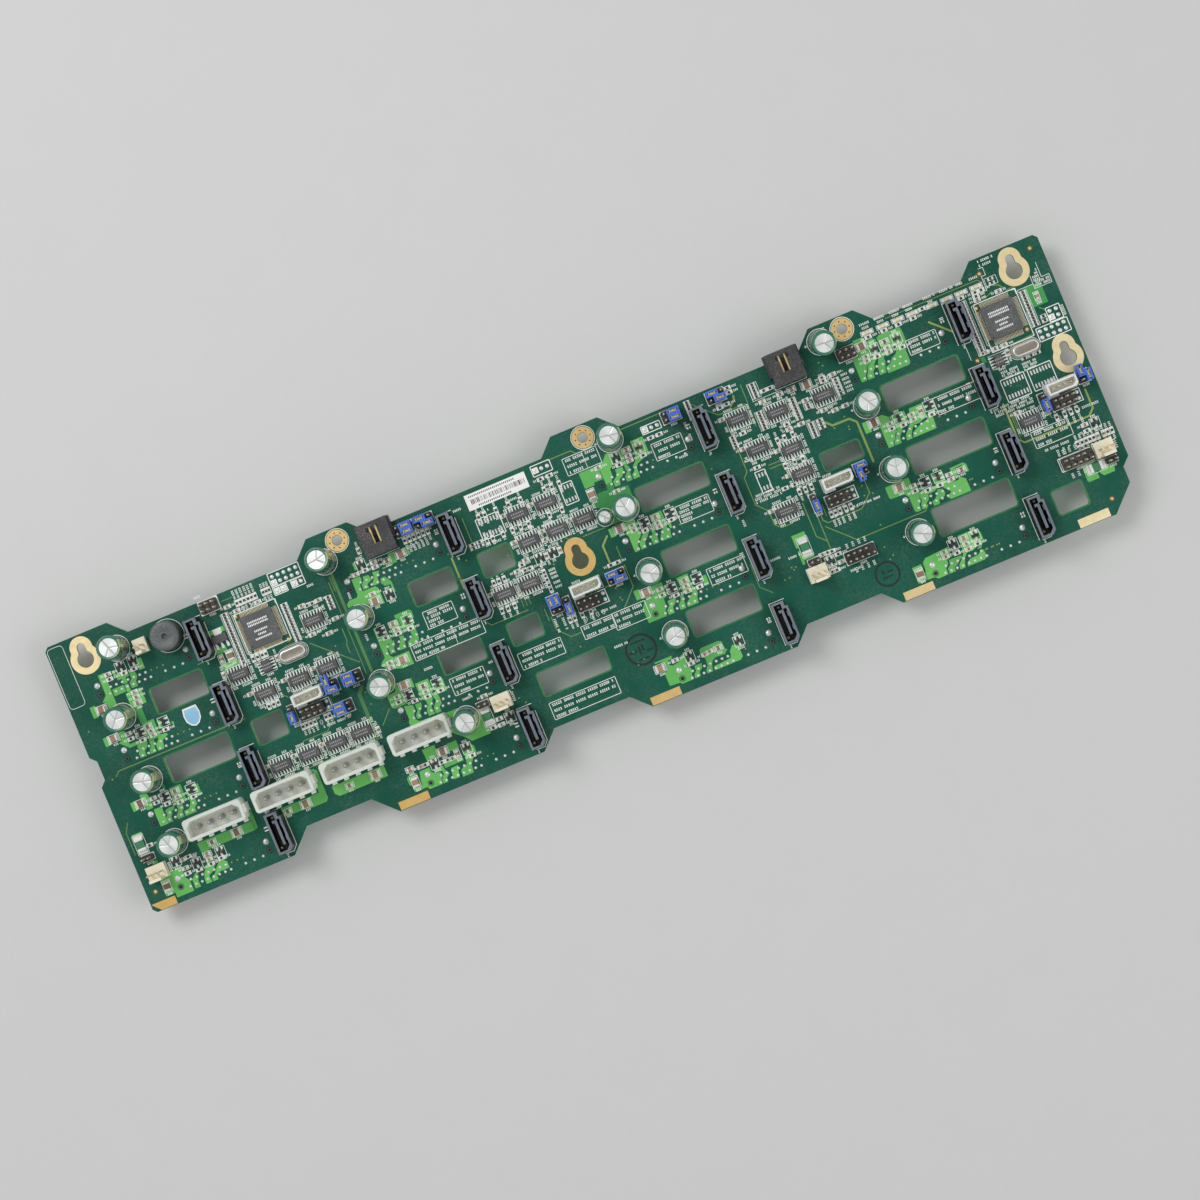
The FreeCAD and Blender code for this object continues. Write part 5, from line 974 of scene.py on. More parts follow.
# Round pads of the empty headers: every x of a row with every y
roundPads = [(x, y) for acrossX, downY in (
    (np.arange(5) * pitch - 118.9, (49.0, 46.5)), ((-118.9, -116.3, -111.3, -108.7), (43.1,)),
    ((-4.9, -2.3, 0.2), (47.5,)), ((41.9, 44.5, 47.0), (45.6,)), ((208.3, 211.0), (27.2, 24.6)),
    ((201.7, 204.2, 206.7, 209.3, 211.8), (21.1, 18.5))) for x in acrossX for y in downY]
roundPads += [(x + 6.35, y + dy) for x, y in sites(headers[2:6]) for dy in (-pitch / 2, pitch / 2)]
footprints.append(stamp(dome(0.85, 0.3, 14), roundPads))
addPiece("barePads", joined(shifted(joined(*footprints), z=top + padLift), *leadPads), mats["solder"])
print("copper made")

# White print: rings, frames, lines, and short rows of bars
silk = []


def printLines(width, *paths):
    silk.append(strokes(paths, width, printHeight))


def printFrame(x0, y0, x1, y1, line, corner=0.1):
    silk.append(frame4(x0, y0, x1, y1, line, printHeight, corner))


def printFrames(spots, halfX, halfY, line, turns=0.0, corner=0.1):
    # The same frame about every spot
    silk.append(stamp(frame4(-halfX, -halfY, halfX, halfY, line, printHeight, corner), spots, turns))


canSpots = sites(cans)
for outer, inner, steps, spots in ((5.42, 5.12, 48, canSpots), (3.75, 3.5, 40, [site(*smallCan)]),
                                   (4.9, 4.6, 48, screwHoles), (6.85, 6.6, 48, [(buzzerX, buzzerY)])):
    silk.append(stamp(ring(outer, inner, printHeight, steps), spots))
plus = boxes([(-0.55, -0.14, 0.55, 0.14), (-0.14, -0.55, 0.14, -0.15), (-0.14, 0.15, 0.14, 0.55)], printHeight)
silk.append(stamp(plus, canSpots + np.array([[-6.1, 0.4]])))
frameText = """-68.8 5.15 -55.9 12.6, 6.4 40.2 21.2 47.6, 41.5 32 54.5 39.4, 40.7 5.2 55.2 12.6, 150.8 31.9 163.7 38.3,
152 5.7 170 13, -78.4 -4.7 -47.8 2.2, -69.2 -23.6 -54.4 -16.3, -40.1 -24.5 -21.3 -17.5, -12.4 -22.8 1.5 -17.1,
0.9 -24.3 15.5 -17, -35.9 -47.8 -7.1 -40.5, 42.7 -22.3 58.6 -15.2, 182.6 -21.7 198.6 -14.6"""
plainFrames = """-120.6 44.8 -107 50.9, -120.6 41.3 -114.6 44.9, -112.9 41.3 -107 44.9, -6.6 45.1 2.0 49.8,
40.2 43.8 48.6 47.3, 206.8 22.7 212.9 28.9, 200.2 16.9 213.8 22.7, -151 45 -142.3 51, 188.4 -34.3 201.6 -28.5,
75.4 3.9 80 13.1, 1.2 29.6 7 38.6, -35 29.4 -24.8 38.6, 179.4 -0.4 189.6 9.2, 190.8 -0.4 201 9.2,
181 20.4 199.2 41.1, -139.4 23 -121 40.8"""
noteFrames, plainFrames = places(frameText), places(plainFrames)
for box in noteFrames:
    printFrame(*box, 0.26, 0.3)
for box in plainFrames:
    silk.append(frame4(*box, 0.36, 0.055, 0.3))
# Square frames round the first pads of the empty headers
squares = [(-118.9, 46.5), (-118.9, 43.1), (-116.3, 43.1), (-111.3, 43.1), (-4.9, 47.5), (41.9, 45.6), (208.3, 24.6)]
silk.append(stamp(frame4(-1.2, -1.2, 1.2, 1.2, 0.55, 0.062, 0.05), squares))
silk.append(frame4(-214.6, 30.5, -207.8, 56.6, 0.2, printHeight, 1.6, 4))

# Each print mark is an upright bar or two, or two or three short bars stacked; rows of them stand for lettering
glyphs = [boxes(rows, printHeight) for rows in (
    [(-0.28, -0.48, 0.28, -0.26), (-0.28, -0.11, 0.28, 0.11), (-0.28, 0.26, 0.28, 0.48)],
    [(-0.29, -0.48, -0.07, 0.48), (0.07, -0.48, 0.29, 0.48)], [(-0.17, -0.48, 0.17, 0.48)],
    [(-0.28, -0.46, 0.28, -0.12), (-0.28, 0.12, 0.28, 0.46)])]
marks = []  # rows of x, y, turn and size
markStep = 0.74


def label(x, y, count, turn=0, size=1.0):
    # A short row of marks centred on x, y
    along = (np.arange(count) - (count - 1) / 2) * markStep * size
    if count > 6:
        # Longer rows break into words of a few marks
        along = along[(np.arange(count) + int(abs(x * 7 + y * 3))) % 6 != 5]
    c, s = np.cos(np.radians(turn)), np.sin(np.radians(turn))
    same = np.ones(len(along))
    marks.append(np.column_stack([x + along * c, y + along * s, same * turn, same * size]))


for x0, y0, x1, y1 in noteFrames:
    rows = max(int((y1 - y0 - 0.8) / 1.65), 1)
    longest = int((x1 - x0 - 1.6) / 0.86)
    for row in range(rows):
        y = y1 - 1.25 - row * (y1 - y0 - 2.4) / max(rows - 1, 1)
        count = max(int(longest * (1.0 if row < 2 else rng.uniform(0.35, 0.6))), 2)
        label(x0 + 1.0 + count * 0.43, y, count, 0, 1.16)
printLines(0.2, [(15, 40.4), (15, 47.4)])
printLines(0.2, [(-60, -4.5), (-60, 2.0)])

# Frames round the headers and the sockets, with labels beside each
for *place, across, deep in headers:
    x, y = site(*place)
    halfX, halfY = across * pitch / 2 + 0.25, deep * pitch / 2 + 0.25
    right = halfX + (pitch if (across, deep) == (4, 2) else 0.0)
    printFrame(x - halfX, y - halfY, x + right, y + halfY, 0.36)
    label(x, y - halfY - 0.8, 4)
    if (across, deep) == (5, 2):
        for n in range(4):
            label(x - 3.8 + n * pitch, y - halfY - 2.6, 3, 90)
            label(x - 3.8 + n * pitch, y + halfY + 2.0, 3, 90)
    elif across == 4:
        for n in range(4):
            printFrames([(x - 3.8 + n * pitch, y - halfY - 2.9)], 0.55, 1.0, 0.2, corner=0.4)
        label(x + 6.2, y - halfY - 2.6, 9)
for x, y in sites(buses):
    printFrame(x - 6.6, y - 2.7, x + 6.6, y + 2.7, 0.2)
    label(x - 3, y + 3.4, 5)
for x, y in sites(fans):
    printFrame(x - 4.2, y - 3.1, x + 4.2, y + 3.1, 0.24)
    label(x + 5.1, y, 5, 90, 1.1)
for x, y in dataXY:
    printLines(0.28, [(x - 3.3, y - 8.8), (x - 3.3, y + 8.8), (x + 3.0, y + 8.8)],
               [(x - 2.0, y - 9.3), (x + 1.6, y - 9.3), (x + 3.4, y - 7.2), (x + 3.4, y + 5.5)])
    label(x - 5.6, y + 3.0, 2, 90, 1.7)
    label(x - 1.4, y - 10.3, 1, 0, 1.2)
printLines(0.2, [(-80.2, 40), (-66.9, 40)], [(95.9, 40), (109.3, 40), (109.3, 42.5)], [(95.9, 40), (95.9, 42.5)],
           [(85.9, 39.3), (98, 39.3)], [(86, 39.3), (86, 46.5)])
ovalRing = ovals(((13.0, 6.6, 0), (12.97, 6.57, printHeight), (12.63, 6.23, printHeight), (12.6, 6.2, 0)), False, False)
silk.append(stamp(ovalRing, crystalSpots))
# Labels round a logic chip: distances, count and turn
logicLabels = ((5.6, 0, 4, 90), (-2.4, 4.7, 5, 0), (2.9, 4.7, 3, 0), (1.6, -4.7, 6, 0), (-3.4, -4.7, 3, 0),
               (-5.7, -2.2, 3, 90), (5.6, -3.2, 3, 90), (5.6, 3.2, 3, 90))
for x, y in logicXY:
    printFrame(x - 4.75, y - 3.9, x + 4.75, y + 3.9, 0.24)
    for dx, dy, count, turn in logicLabels:
        label(x + dx, y + dy, count, turn)
for x, y in memoryXY:
    printFrame(x - 3.5, y - 2.9, x + 3.5, y + 2.9, 0.18)
    label(x, y - 3.6, 4)
for x, y in controllerXY:
    printLines(0.2, [(x - 9.2, y - 7.5), (x - 9.2, y + 9.1), (x - 7.5, y + 9.1)],
               [(x + 8.0, y + 9.0), (x + 9.2, y + 9.0), (x + 9.2, y + 7.0)], [(x - 9.2, y - 7.5), (x - 7.8, y - 8.8)])

# Loose labels: x y count turn
labelText = """-150 53 4 0, -136 49 3 90, -134.4 49 3 90, -132.8 49 3 90, -131.1 49 3 90, -129.6 49 3 90,
-128 49 3 90, -117 -14.6 16 0, -139 1.5 8 0, -186 45 3 0, -63 38 4 90, -61.2 38 4 90, -59.4 38 4 90, -57.6 38 4 90,
-55.8 38 4 90, -20.7 -13 8 90, -17.4 -13 8 90, -14 8.5 4 0, -14 7 4 0, -14 5.4 4 0, -14 3.2 4 0, -14 1.3 4 0,
97.5 -18 4 90, 99.3 -18 4 90, 101.2 -18 4 90, 103.7 -18 4 90, 105.9 -18 4 90, 138.5 51 6 0, 138.3 49.4 4 0,
144.8 51 6 0, 144.8 49.4 4 0, 151.3 51 6 0, 151.2 49.4 4 0, 157.2 51 6 0, 157 49.4 4 0, 165.8 51 8 0, 173.6 51 8 0,
179.2 51 4 0, 185.3 51 5 0, 166 48.9 3 0, 123.4 35.5 4 0, 123.4 33.7 4 0, 123.4 32 4 0, 123.4 30.3 4 0,
123.4 28.8 4 0, 110 46.5 4 90, 113 -15 14 0, 190.5 -23.5 14 0, 190 -26.4 4 90, 192.5 -26.4 4 90, 195 -26.4 4 90,
197.5 -26.4 4 90, 208 -13.4 12 0, 203.7 -18 4 90, 200.9 -16.5 4 90, 198.2 -16.5 4 90, 122.5 55.5 2 0, -75 -9 5 0,
-40 45 5 0, -31 40.5 8 0, -18 40.5 8 0, -31 27.4 10 0, -18 27.4 10 0, -24 22.5 6 0, -9 26 6 0, -2 40.5 5 0,
203.8 15.6 5 0, 213.6 25.6 6 90, 176 27 8 90, 203.5 -0.8 7 0, 62 44 8 90, 57.5 41 4 90, 57.5 36 4 90, 75 18.5 4 0,
75 26 4 0, 75 32 4 0, 80 35.6 5 0, 95 15 6 0, 92 8.5 6 0, 80 -8 6 0, 77 -24 8 0, -143 19 5 90, -155 15 5 90,
-106 40 4 0, -106 30 4 0, -106 25 4 0, -93 30 4 90, -93 12 4 90, -47 36 5 90, -47 10 5 90, -47 -26 6 0, -50 -30 6 0,
-65 -26 6 0, 0 -30 8 0, -28 -28 6 0, 18 -33 4 0, 52 30 5 0, 52 25 5 0, 64 -14 4 90, 64 -4 4 90, 70 -22 6 0,
86 -33 5 0, 98 -38 6 0"""
for x, y, count, turn in places(labelText):
    label(x, y, int(count), turn)

# Packed blocks of marks beside the rows of small parts
blocks = """189 55.6 199.6 57.3, 189 53.8 196 55.4, 206.6 40.2 210.2 46.8, 206.6 38 213.4 40.2, 180.6 8.6 188.6 12.4,
190 8.6 196 12.4, 172.4 -4 189 -0.4, 71.5 0.9 82.7 4.1, 118.2 28.2 121 36, 113.4 35.6 116.2 39.6"""
for x0, y0, x1, y1 in places(blocks):
    for y in np.arange(y0 + 0.6, y1, 1.25):
        label((x0 + x1) / 2, y, max(int((x1 - x0) / markStep), 2))
printLines(0.22, [(188.6, 53.5), (190.4, 53.5), (190.4, 50.2), (188.6, 50.2), (188.6, 44.4), (185.4, 44.4)],
           [(210.5, 47.2), (210.5, 41), (213.7, 41), (213.7, 37.6), (206.4, 37.6), (206.4, 43)],
           [(172.2, 30), (172.2, 21)], [(199.6, 39.6), (206.4, 39.6)], [(199.6, 39.6), (199.6, 30)])


def layMarks():
    # All marks at once, each in one of the shapes at random
    rows = np.vstack(marks)
    # A mark goes where the board is, and where no earlier mark stands
    leastGap = 0.62
    gaps = np.abs(rows[:, None, 0] - rows[None, :, 0]) + np.abs(rows[:, None, 1] - rows[None, :, 1])
    rows = rows[onBoard(rows) & ~np.tril(gaps < leastGap, -1).any(axis=1)]
    pick = rng.integers(0, len(glyphs), len(rows))
    shapes = []
    for index, glyph in enumerate(glyphs):
        spots, turns, sizes = np.split(rows[pick == index], (2, 3), axis=1)
        # Levels differ a little, so that marks and lines that cross share no plane
        lift = 1.1 + 0.04 * (np.arange(len(spots)) % 9)
        shapes.append(stamp(glyph, spots, turns[:, 0], np.column_stack([sizes, sizes, lift])))
    print("print marks:", len(rows))
    marks.clear()
    return joined(*shapes)


# Two dark round stamps, and the stickers
stampBars = places("""1.6 -35.2 5 -34.4, 5.6 -36.6 6.4 -33.2, 7.2 -35.4 8 -33, 8.7 -36.4 11.4 -35.7, 3.4 -31.6 9.6 -31,
4.2 -38.9 9 -38.3, 106.6 -46.2 110.9 -45.6, 107.2 -44.4 108 -42.6, 109.2 -44.2 111.6 -43.5""")
stamps = joined(shifted(ring(6.5, 5.6, 0.03, 48), 6.7, -34.8), shifted(ring(5.2, 4.4, 0.03, 40), 109.0, -44.7),
                boxes(stampBars, 0.03))
addPiece("darkStamps", shifted(stamps, z=top + printLift), mats["darkPrint"])
addPiece("barSticker", shifted(softBox(26.1, 6.6, 0.12, 0.06), -22.35, 45.8, top + 0.05), mats["paper"])
barX = -34.2 + np.cumsum(rng.uniform(0.32, 0.75, 46))
barWidth = rng.choice([0.14, 0.22, 0.34], 46)
bars = [(x, 44.7, x + w, 46.7) for x, w in zip(barX, barWidth) if x < -10.6]
bars += [(x, y, x + 0.42, y1) for start, end, y, y1 in ((-33.8, -14, 47.6, 48.3), (-31, -17, 43.2, 43.9))
         for x in np.arange(start, end, 0.8)]
addPiece("stickerBars", shifted(boxes(bars, 0.02), z=top + 0.171), mats["ink"])
shield = places("""-173 13.7, -167.1 13.7, -166.6 10.8, -166.9 8.2, -168.3 6.3, -170 5.6, -171.7 6.3, -173.2 8.2,
-173.5 10.8""")
addPiece("shieldEdge", shifted(area(shield, 0.1), z=top + printLift), mats["paper"])
shieldFace = area(shield.mean(0) + (shield - shield.mean(0)) * 0.84, 0.03)
addPiece("shieldFace", shifted(shieldFace, z=top + 0.131), mats["shield"], tone=np.linspace(0, 1, len(shieldFace[0])))
print("print and stickers made")

# Small surface parts: middle of each as x y, kind by kind; the second text of a kind holds the upright ones
bigCaps = """-202.9 26.2, -203 13.6, -203 -14.7, -67.5 37.6, -84.2 24, -83.2 -1.9, -86.5 -11.5, -82.5 -41.9,
17.3 13.1, 17.3 -14.4, 10.8 -44.7, 134 43.1, 126.9 13, 126.4 -14.7, -171.5 -40.1, -141.4 -40.3, -111 -40.2, 108 37.5"""
bigCapsUp = "-206 -49.5, -97.3 -49.2, 12.3 30, 120.9 -49.7, -146.4 26.3"
midCaps = """-188.3 23.2, -188.3 12.8, -188.2 -15.4, -186 -43.8, -73.7 37.3, -81.2 12.9, -79.6 -14.8, -97.4 -43.6,
31.8 41.1, 32.2 11.9, 33.1 -15.9, 35.3 -46, 143.2 41.2, 151.9 -17.6, 142.2 -43.1, -182.3 -40.1, -149.3 -40.3,
-122.3 -40.3, 101.8 38"""
midCapsUp = "-77.4 -45, 145.9 10.2, -150.4 26.3, 205.9 34.6"
caps = """-195.2 38.3, -188 27.7, -188 25.6, -196.8 13.1, -187.8 10.7, -187.6 8.8, -197.5 -14.7, -188 -17.9,
-187.9 -20.2, -196.3 -45.6, -186 -46, -196 -42, -87.4 36.8, -78.9 38.7, -79 36.7, -84.2 27.1, -80.8 10.4, -88.4 -1,
-88.4 -3, -91 -14.8, -79.5 -17.2, -93 -44.3, -79.8 -46, -58.6 -27.9, -56.4 -38.6, -56.4 -41.1, 18.7 38.9, 31.7 38.7,
31.6 36.7, 21.9 27.3, 22.3 12.3, 22.4 10.3, 32.2 9.5, 32.3 7.7, 22.8 -15.4, 22.8 -17.9, 33 -18.2, 33 -20.3,
17.6 -44, 23 -47.6, 29.4 -46.3, 31.6 -46, 88 -27.6, 94 -33.1, 134.1 38.6, 133.9 36.8, 143.4 38.7, 143.4 36.8,
132.7 10.2, 142 10.3, 142 8.3, 131.7 -16.2, 146.7 -17.5, 146.7 -19.6, 132.9 -45.3, 132.9 -47.3, 142.4 -45.6,
142.5 -47.8, 203.8 -20, -140.1 44.8, -137.2 41.9, -128 41.9, -112.4 33.6, -112.7 21.4, -145 8.9, -130.2 8.8,
-117.7 8.7, -150.4 -20.6, -138.4 -20.8, -126.4 -20.9, -115.2 -20.9, -105.2 33.2, -101.7 23.8, -106.2 19.3,
-23.8 35.7, -11.8 35.6, -23.9 24.2, -11.8 24, 0 24, -11.8 20.6, -22.2 16, -27 13.1, -40.7 8.5, 89.3 37.9, 96.9 38,
71.7 37.5, 75 23.5, 87.5 17.4, 87.8 6.7, 95 23.7, 100.2 23.8, 105.3 31.8, 76 -3.8, 110.6 25.4, 114.7 23.7,
119.2 23.8, 119.2 37.2, 183.5 42.3, 192.6 42.3, 181 -5.3, 182.6 21.7, 186.6 21.6, 178.6 21.7"""
capsUp = "-82.6 45.2, -152 20, -129.5 18.2, -103 -24, -13.9 14.3, -8 14.3, 186.7 18.3, 207 -26, 209.5 -26"
ohms = """-195.2 36.2, -188.9 36.3, -184.5 36.3, -196.5 10.8, -192.3 8.5, -182 8.9, -196.9 -16.8, -193 -19,
-182.1 -20.3, -196.2 -47.9, -191.4 -48.3, -186 -48, -181.3 -47.4, -206.1 -31.6, -193.5 -41.8, -83.2 37, -80.7 8.5,
-86 8.8, -75.3 8.5, -91.2 -17, -79.5 -19.3, -85 -19, -73.7 -19, -91 -44.3, -84.5 -45.9, -81.9 -45.9, -72 -48,
-60 -41, 27 36.7, 37.3 36.5, 26.5 8.5, 37.8 8.4, 28 -20.1, 38 -20.6, 90.2 -27.6, 92 -27.8, 93.9 -29.8, 89 -35.5,
91 -35.5, 138.4 36.9, 149 36.5, 132.7 8.1, 137.5 7.7, 149.5 7.2, 131.7 -18.4, 136.5 -20, 141.8 -20, 137.7 -47.6,
146.6 -47.3, 203.8 -22.5, -110.2 33, -108 33, -4.3 43.6, -0.4 43.6, 91.5 41.8, 94.2 41.8, 77.3 29.3, 94.8 25.8,
77.3 14.5, 84.5 2.5, 88.5 2.5, 8.5 1, 11.3 1, 42.7 41.8, 46.4 41.8, 78.5 48.4, 78.5 46.5, 72.8 42.2, 75.8 42.5,
138 45.4, 144.8 45.4, 151 45.4, 157.3 45.4, 162 47.5, 183.8 45.4, 186.4 45.4, 183.6 43.8, 177.8 45.4, 114.8 37.6,
114.8 36.2, -24.3 14.8, -24 12.3, -22 12.3"""
ohmsUp = """-136 44.6, -134.4 44.6, -132.8 44.6, -131.1 44.6, -129.6 44.6, -128 44.6, -124.5 44.6, -123.2 44.6,
-122 44.6, -138.5 21.5, -136.6 21.5, -134.6 21.5, -133 21.5, -130.5 -11.3, -128.8 -11.3, -127.1 -11.3, -125.3 -11.3,
-120.5 -11.3, -118.8 -11.3, -64 41.8, -62 41.8, -60 41.8, -58 41.8, -56 41.8, -54 41.8, -33 39, -30.3 39, -25.5 39,
-20 39, -14.8 39, -4.5 39, -1.3 39, 2 39, -33.5 29, -31 29, -26.5 29, -22.5 29, -19 29, -15.5 29, -6.5 29, -1 29,
-37.5 12.3, -35.3 12.3, -33 12.3, -38.8 0.8, -36.2 0.8, -33.2 0.8, -15 -13, -13 -13, -9.7 -13, -6 -13, 89 21.2,
92 21.2, 95.5 21.2, 88 10.7, 92 10.7, 95.5 10.7, 97.5 -14.2, 99.3 -14.2, 101.2 -14.2, 103.7 -14.2, 105.9 -14.2,
89.2 -1, 91.8 -1, 94.4 -1, 194.8 -13, 198.2 -13, 200.8 -13, 203.4 -13, 198.4 -26, 200.2 -26, 202 -26, 203.6 -26,
205.2 -26, 211.2 -26, 213 -26, -17.3 8.5, -17.3 7, -17.3 5.4, -17.3 3.2, -17.3 1.3, -140 1.5, -138 1.5, -136 1.5"""
threeLeads = """-189.3 39.2, -183.8 39.5, -192.1 11.8, -181.7 12.2, -192.9 -16, -181.7 -17, -191.3 -45.5,
-180.6 -44.9, -199 -41.6, -84 39.6, -77.8 24.2, -86.9 12, -75.2 12.1, -86.5 -15.8, -74 -15.8, -87.3 -45.3,
-73 -44.4, -52.1 -39.5, 26.7 39.9, 36.9 40, 27.3 11.5, 38.3 11.2, 27.3 -16.8, 38.3 -17, 23.5 -44.7, 44 -46.5,
90 -31.3, 138.4 40.1, 148.2 40.6, 136.8 10.9, 149.9 11, 136.7 -16.6, 142.2 -16.6, 137.5 -43.8, 146.9 -43.9,
208 -20.8, -16.6 14.5, -10.9 14.5"""
# Packed strips of resistors, x0 y0 x1 y1
strips = """-144.2 21 -140.8 43, -120.2 21 -117.2 37.5, -102.5 27.5 -99.8 33.5, -41 27.5 -35 30.5, 86 40 90 46.5,
84.5 27 88.2 35, 99 25.4 102 35, 102 16.5 105.5 23, 106 18.5 109 23, 103.7 28 107.3 30.6, 60 42 62.5 50,
118 28 121 35.6, 175.7 21 179.3 44, 189 45.5 194 49, 199.5 23.5 203 38.8, 71.5 24.5 74 30, 180 13.6 184 15,
190.6 13 199 14.4, 204 23.6 206.4 27"""
stripSpots = []
for x0, y0, x1, y1 in places(strips):
    across, deep = max(int((x1 - x0) / 2.6), 1), max(int((y1 - y0) / 1.3), 1)
    i, j = np.meshgrid(np.arange(across) + 0.5, np.arange(deep) + 0.5, indexing="ij")
    stripSpots.append(np.column_stack([x0 + i.ravel() * (x1 - x0) / across, y0 + j.ravel() * (y1 - y0) / deep]))
stripSpots = np.vstack(stripSpots)


def bothEnds(shape, reach):
    # The shape at equal distances on either side of the middle
    return joined(shifted(shape, -reach), shifted(shape, reach))


def chipParts(length, width, height, ends):
    # A chip's middle block, and its two end caps a little larger with soft corners, in a shallow bed of solder
    middle = shifted(softBox(length - 2 * ends + 0.02, width, height, 0.05), z=0.06)
    end = shifted(softBox(ends, width + 0.06, height + 0.05, 0.06), z=0.05)
    bed = shifted(plate(ends + 0.5, width + 0.25, 0.14, 0.12), z=0.02)
    return middle, joined(bothEnds(end, (length - ends) / 2), bothEnds(bed, (length - ends) / 2 + 0.2))


middles, middleTones, ends, dark = [], [], [], []
# Kinds of chips: block's length, width, height and end, frame's length and width, places lying and upright
for isDark, measures, frameLength, frameWidth, flat, upright in (
        (False, (3.2, 2.5, 1.5, 0.55), 5.0, 3.5, bigCaps, bigCapsUp),
        (False, (2.0, 1.25, 1.05, 0.4), 3.8, 2.4, midCaps, midCapsUp),
        (False, (1.6, 0.82, 0.8, 0.32), 3.0, 1.7, caps, capsUp),
        (True, (1.6, 0.82, 0.45, 0.3), 2.9, 1.6, ohms, ohmsUp)):
    middle, solderEnds = chipParts(*measures)
    border = frame4(-frameLength / 2, -frameWidth / 2, frameLength / 2, frameWidth / 2, 0.26, printHeight, 0.1)
    for spots, turn in ((places(flat), 0), (places(upright), 90)):
        wobble = turn + rng.uniform(-3, 3, len(spots))
        block = stamp(middle, spots, wobble, height=top)
        if isDark:
            dark.append(block)
        else:
            middles.append(block)
            middleTones.append(toneOf(block, rng.uniform(0, 1, len(spots)), len(spots)))
        ends.append(stamp(solderEnds, spots, wobble, height=top))
        # Frames of neighbours that touch differ a little in height
        same = np.ones(len(spots))
        silk.append(stamp(border, spots, turn, np.column_stack([same, same, 1 + 0.06 * (np.arange(len(spots)) % 5)])))
        for x, y in spots:
            if frameLength > 3.0:  # the two larger kinds have one label, below
                label(x, y - (frameLength if turn else frameWidth) / 2 - 0.75, 3)
            elif turn:
                label(x, y + frameLength / 2 + 1.3, 3, 90, 0.9)
                label(x, y - frameLength / 2 - 1.3, 3, 90, 0.9)
            else:
                label(x + frameLength / 2 + 1.35, y, 3, 0, 0.9)
                label(x - frameLength / 2 - 1.0, y, 2, 0, 0.9)
# The packed strips hold the last kind
dark.append(stamp(middle, stripSpots, height=top))
ends.append(stamp(solderEnds, stripSpots, height=top))
silk.append(stamp(boxes([(-1.35, -0.72, 1.35, -0.56)], printHeight), stripSpots))
for box in places(strips):
    printFrame(*box, 0.17)
addPiece("chipCapacitors", joined(*middles), mats["chipcap"], tone=np.concatenate(middleTones))
addPiece("chipResistors", joined(*dark), mats["resistor"])

# Three-lead parts: a moulded body with two leads on one side and one on the other
threeXY = places(threeLeads)
threeTurn = np.where((np.abs(threeXY[:, 1] - 11) < 3.5) | (np.abs(threeXY[:, 1] + 17) < 2.5), -90.0, 0.0)
body = loft([rounded(2.8, 1.2, 0, 0.05), rounded(2.95, 1.35, 0.5, 0.05), rounded(2.75, 1.15, 1.0, 0.08),
             rounded(2.6, 1.0, 1.02, 0.08)])
lead, pad = gullLead(1.0, 0.42), plate(1.2, 0.95, 0.1, 0.15)
addPiece("threeLeadBodies", stamp(shifted(body, z=0.08), threeXY, threeTurn, height=top), mats["header"])
threeLeadEnds = joined(stamp(lead, [(-0.95, 0.6), (0.95, 0.6)], 90), stamp(lead, [(0.0, -0.6)], 270))
threePads = stamp(pad, [(-0.95, 1.35), (0.95, 1.35), (0.0, -1.35)], 90)
for shape, lift in ((threeLeadEnds, 0.0), (threePads, padLift)):
    ends.append(stamp(shape, threeXY, threeTurn, height=top + lift))
printFrames(threeXY, 2.1, 2.2, 0.22, threeTurn)
for x, y in threeXY:
    label(x, y + 2.9, 3)
    label(x, y - 2.9, 4)

# Status lamps: a cream lens between two pads, with printed brackets
lampXY = np.array([(x, 47.3) for x in (138.3, 145, 151.5, 157.7, 166, 172.5, 178.7, 185.1)])
lens = joined(softBox(1.2, 1.25, 0.75, 0.2, 3), shifted(softBox(2.0, 1.1, 0.35, 0.06), z=0.03))
addPiece("statusLamps", stamp(lens, lampXY, height=top), mats["led"])
ends.append(stamp(bothEnds(plate(1.4, 1.3, 0.12, 0.2), 1.6), lampXY, height=top + padLift))
printFrames(lampXY, 2.7, 0.95, 0.2)

# Ends of the four fuses, tab and leads of the regulator
fuseSites = [(0, -27.9, 2, -9.7, 90), (1, 11.7, 2, -15.6, 90), (2, 45.8, 2, -1.8, 90), (3, 55.5, 3, 11.1, 0)]
fuseXY = sites(fuseSites)
fuseTurn = [float(place[4]) for place in fuseSites]
fuseEnds = joined(bothEnds(softBox(1.15, 3.55, 1.05, 0.12, 2), 2.1), bothEnds(plate(2.4, 4.0, 0.16, 0.3, 2), 2.7))
ends.append(stamp(fuseEnds, fuseXY, fuseTurn, height=top + 0.01))
printFrames(fuseXY, 4.3, 2.4, 0.2, fuseTurn, 0.3)
regulatorX, regulatorY = -147.73, rowY[0] - 1.4
for shape, dy, lift in ((softBox(3.1, 1.9, 0.5, 0.1), 2.6, 0.05), (plate(3.8, 2.2, 0.08, 0.2), 3.2, padLift)):
    ends.append(shifted(shape, regulatorX, regulatorY + dy, top + lift))
for shape, dy, lift in ((gullLead(1.6, 0.7), 1.7, 0.0), (plate(1.9, 1.1, 0.07, 0.15), 3.1, padLift)):
    ends.append(stamp(shape, [(regulatorX + dx, regulatorY - dy) for dx in (-2.3, 0, 2.3)], 270, height=top + lift))
addPiece("solderedEnds", joined(*ends), mats["tin"])
silk.append(layMarks())
addPiece("whitePrint", shifted(joined(*silk), z=top + printLift), mats["silk"])
print("small parts made")

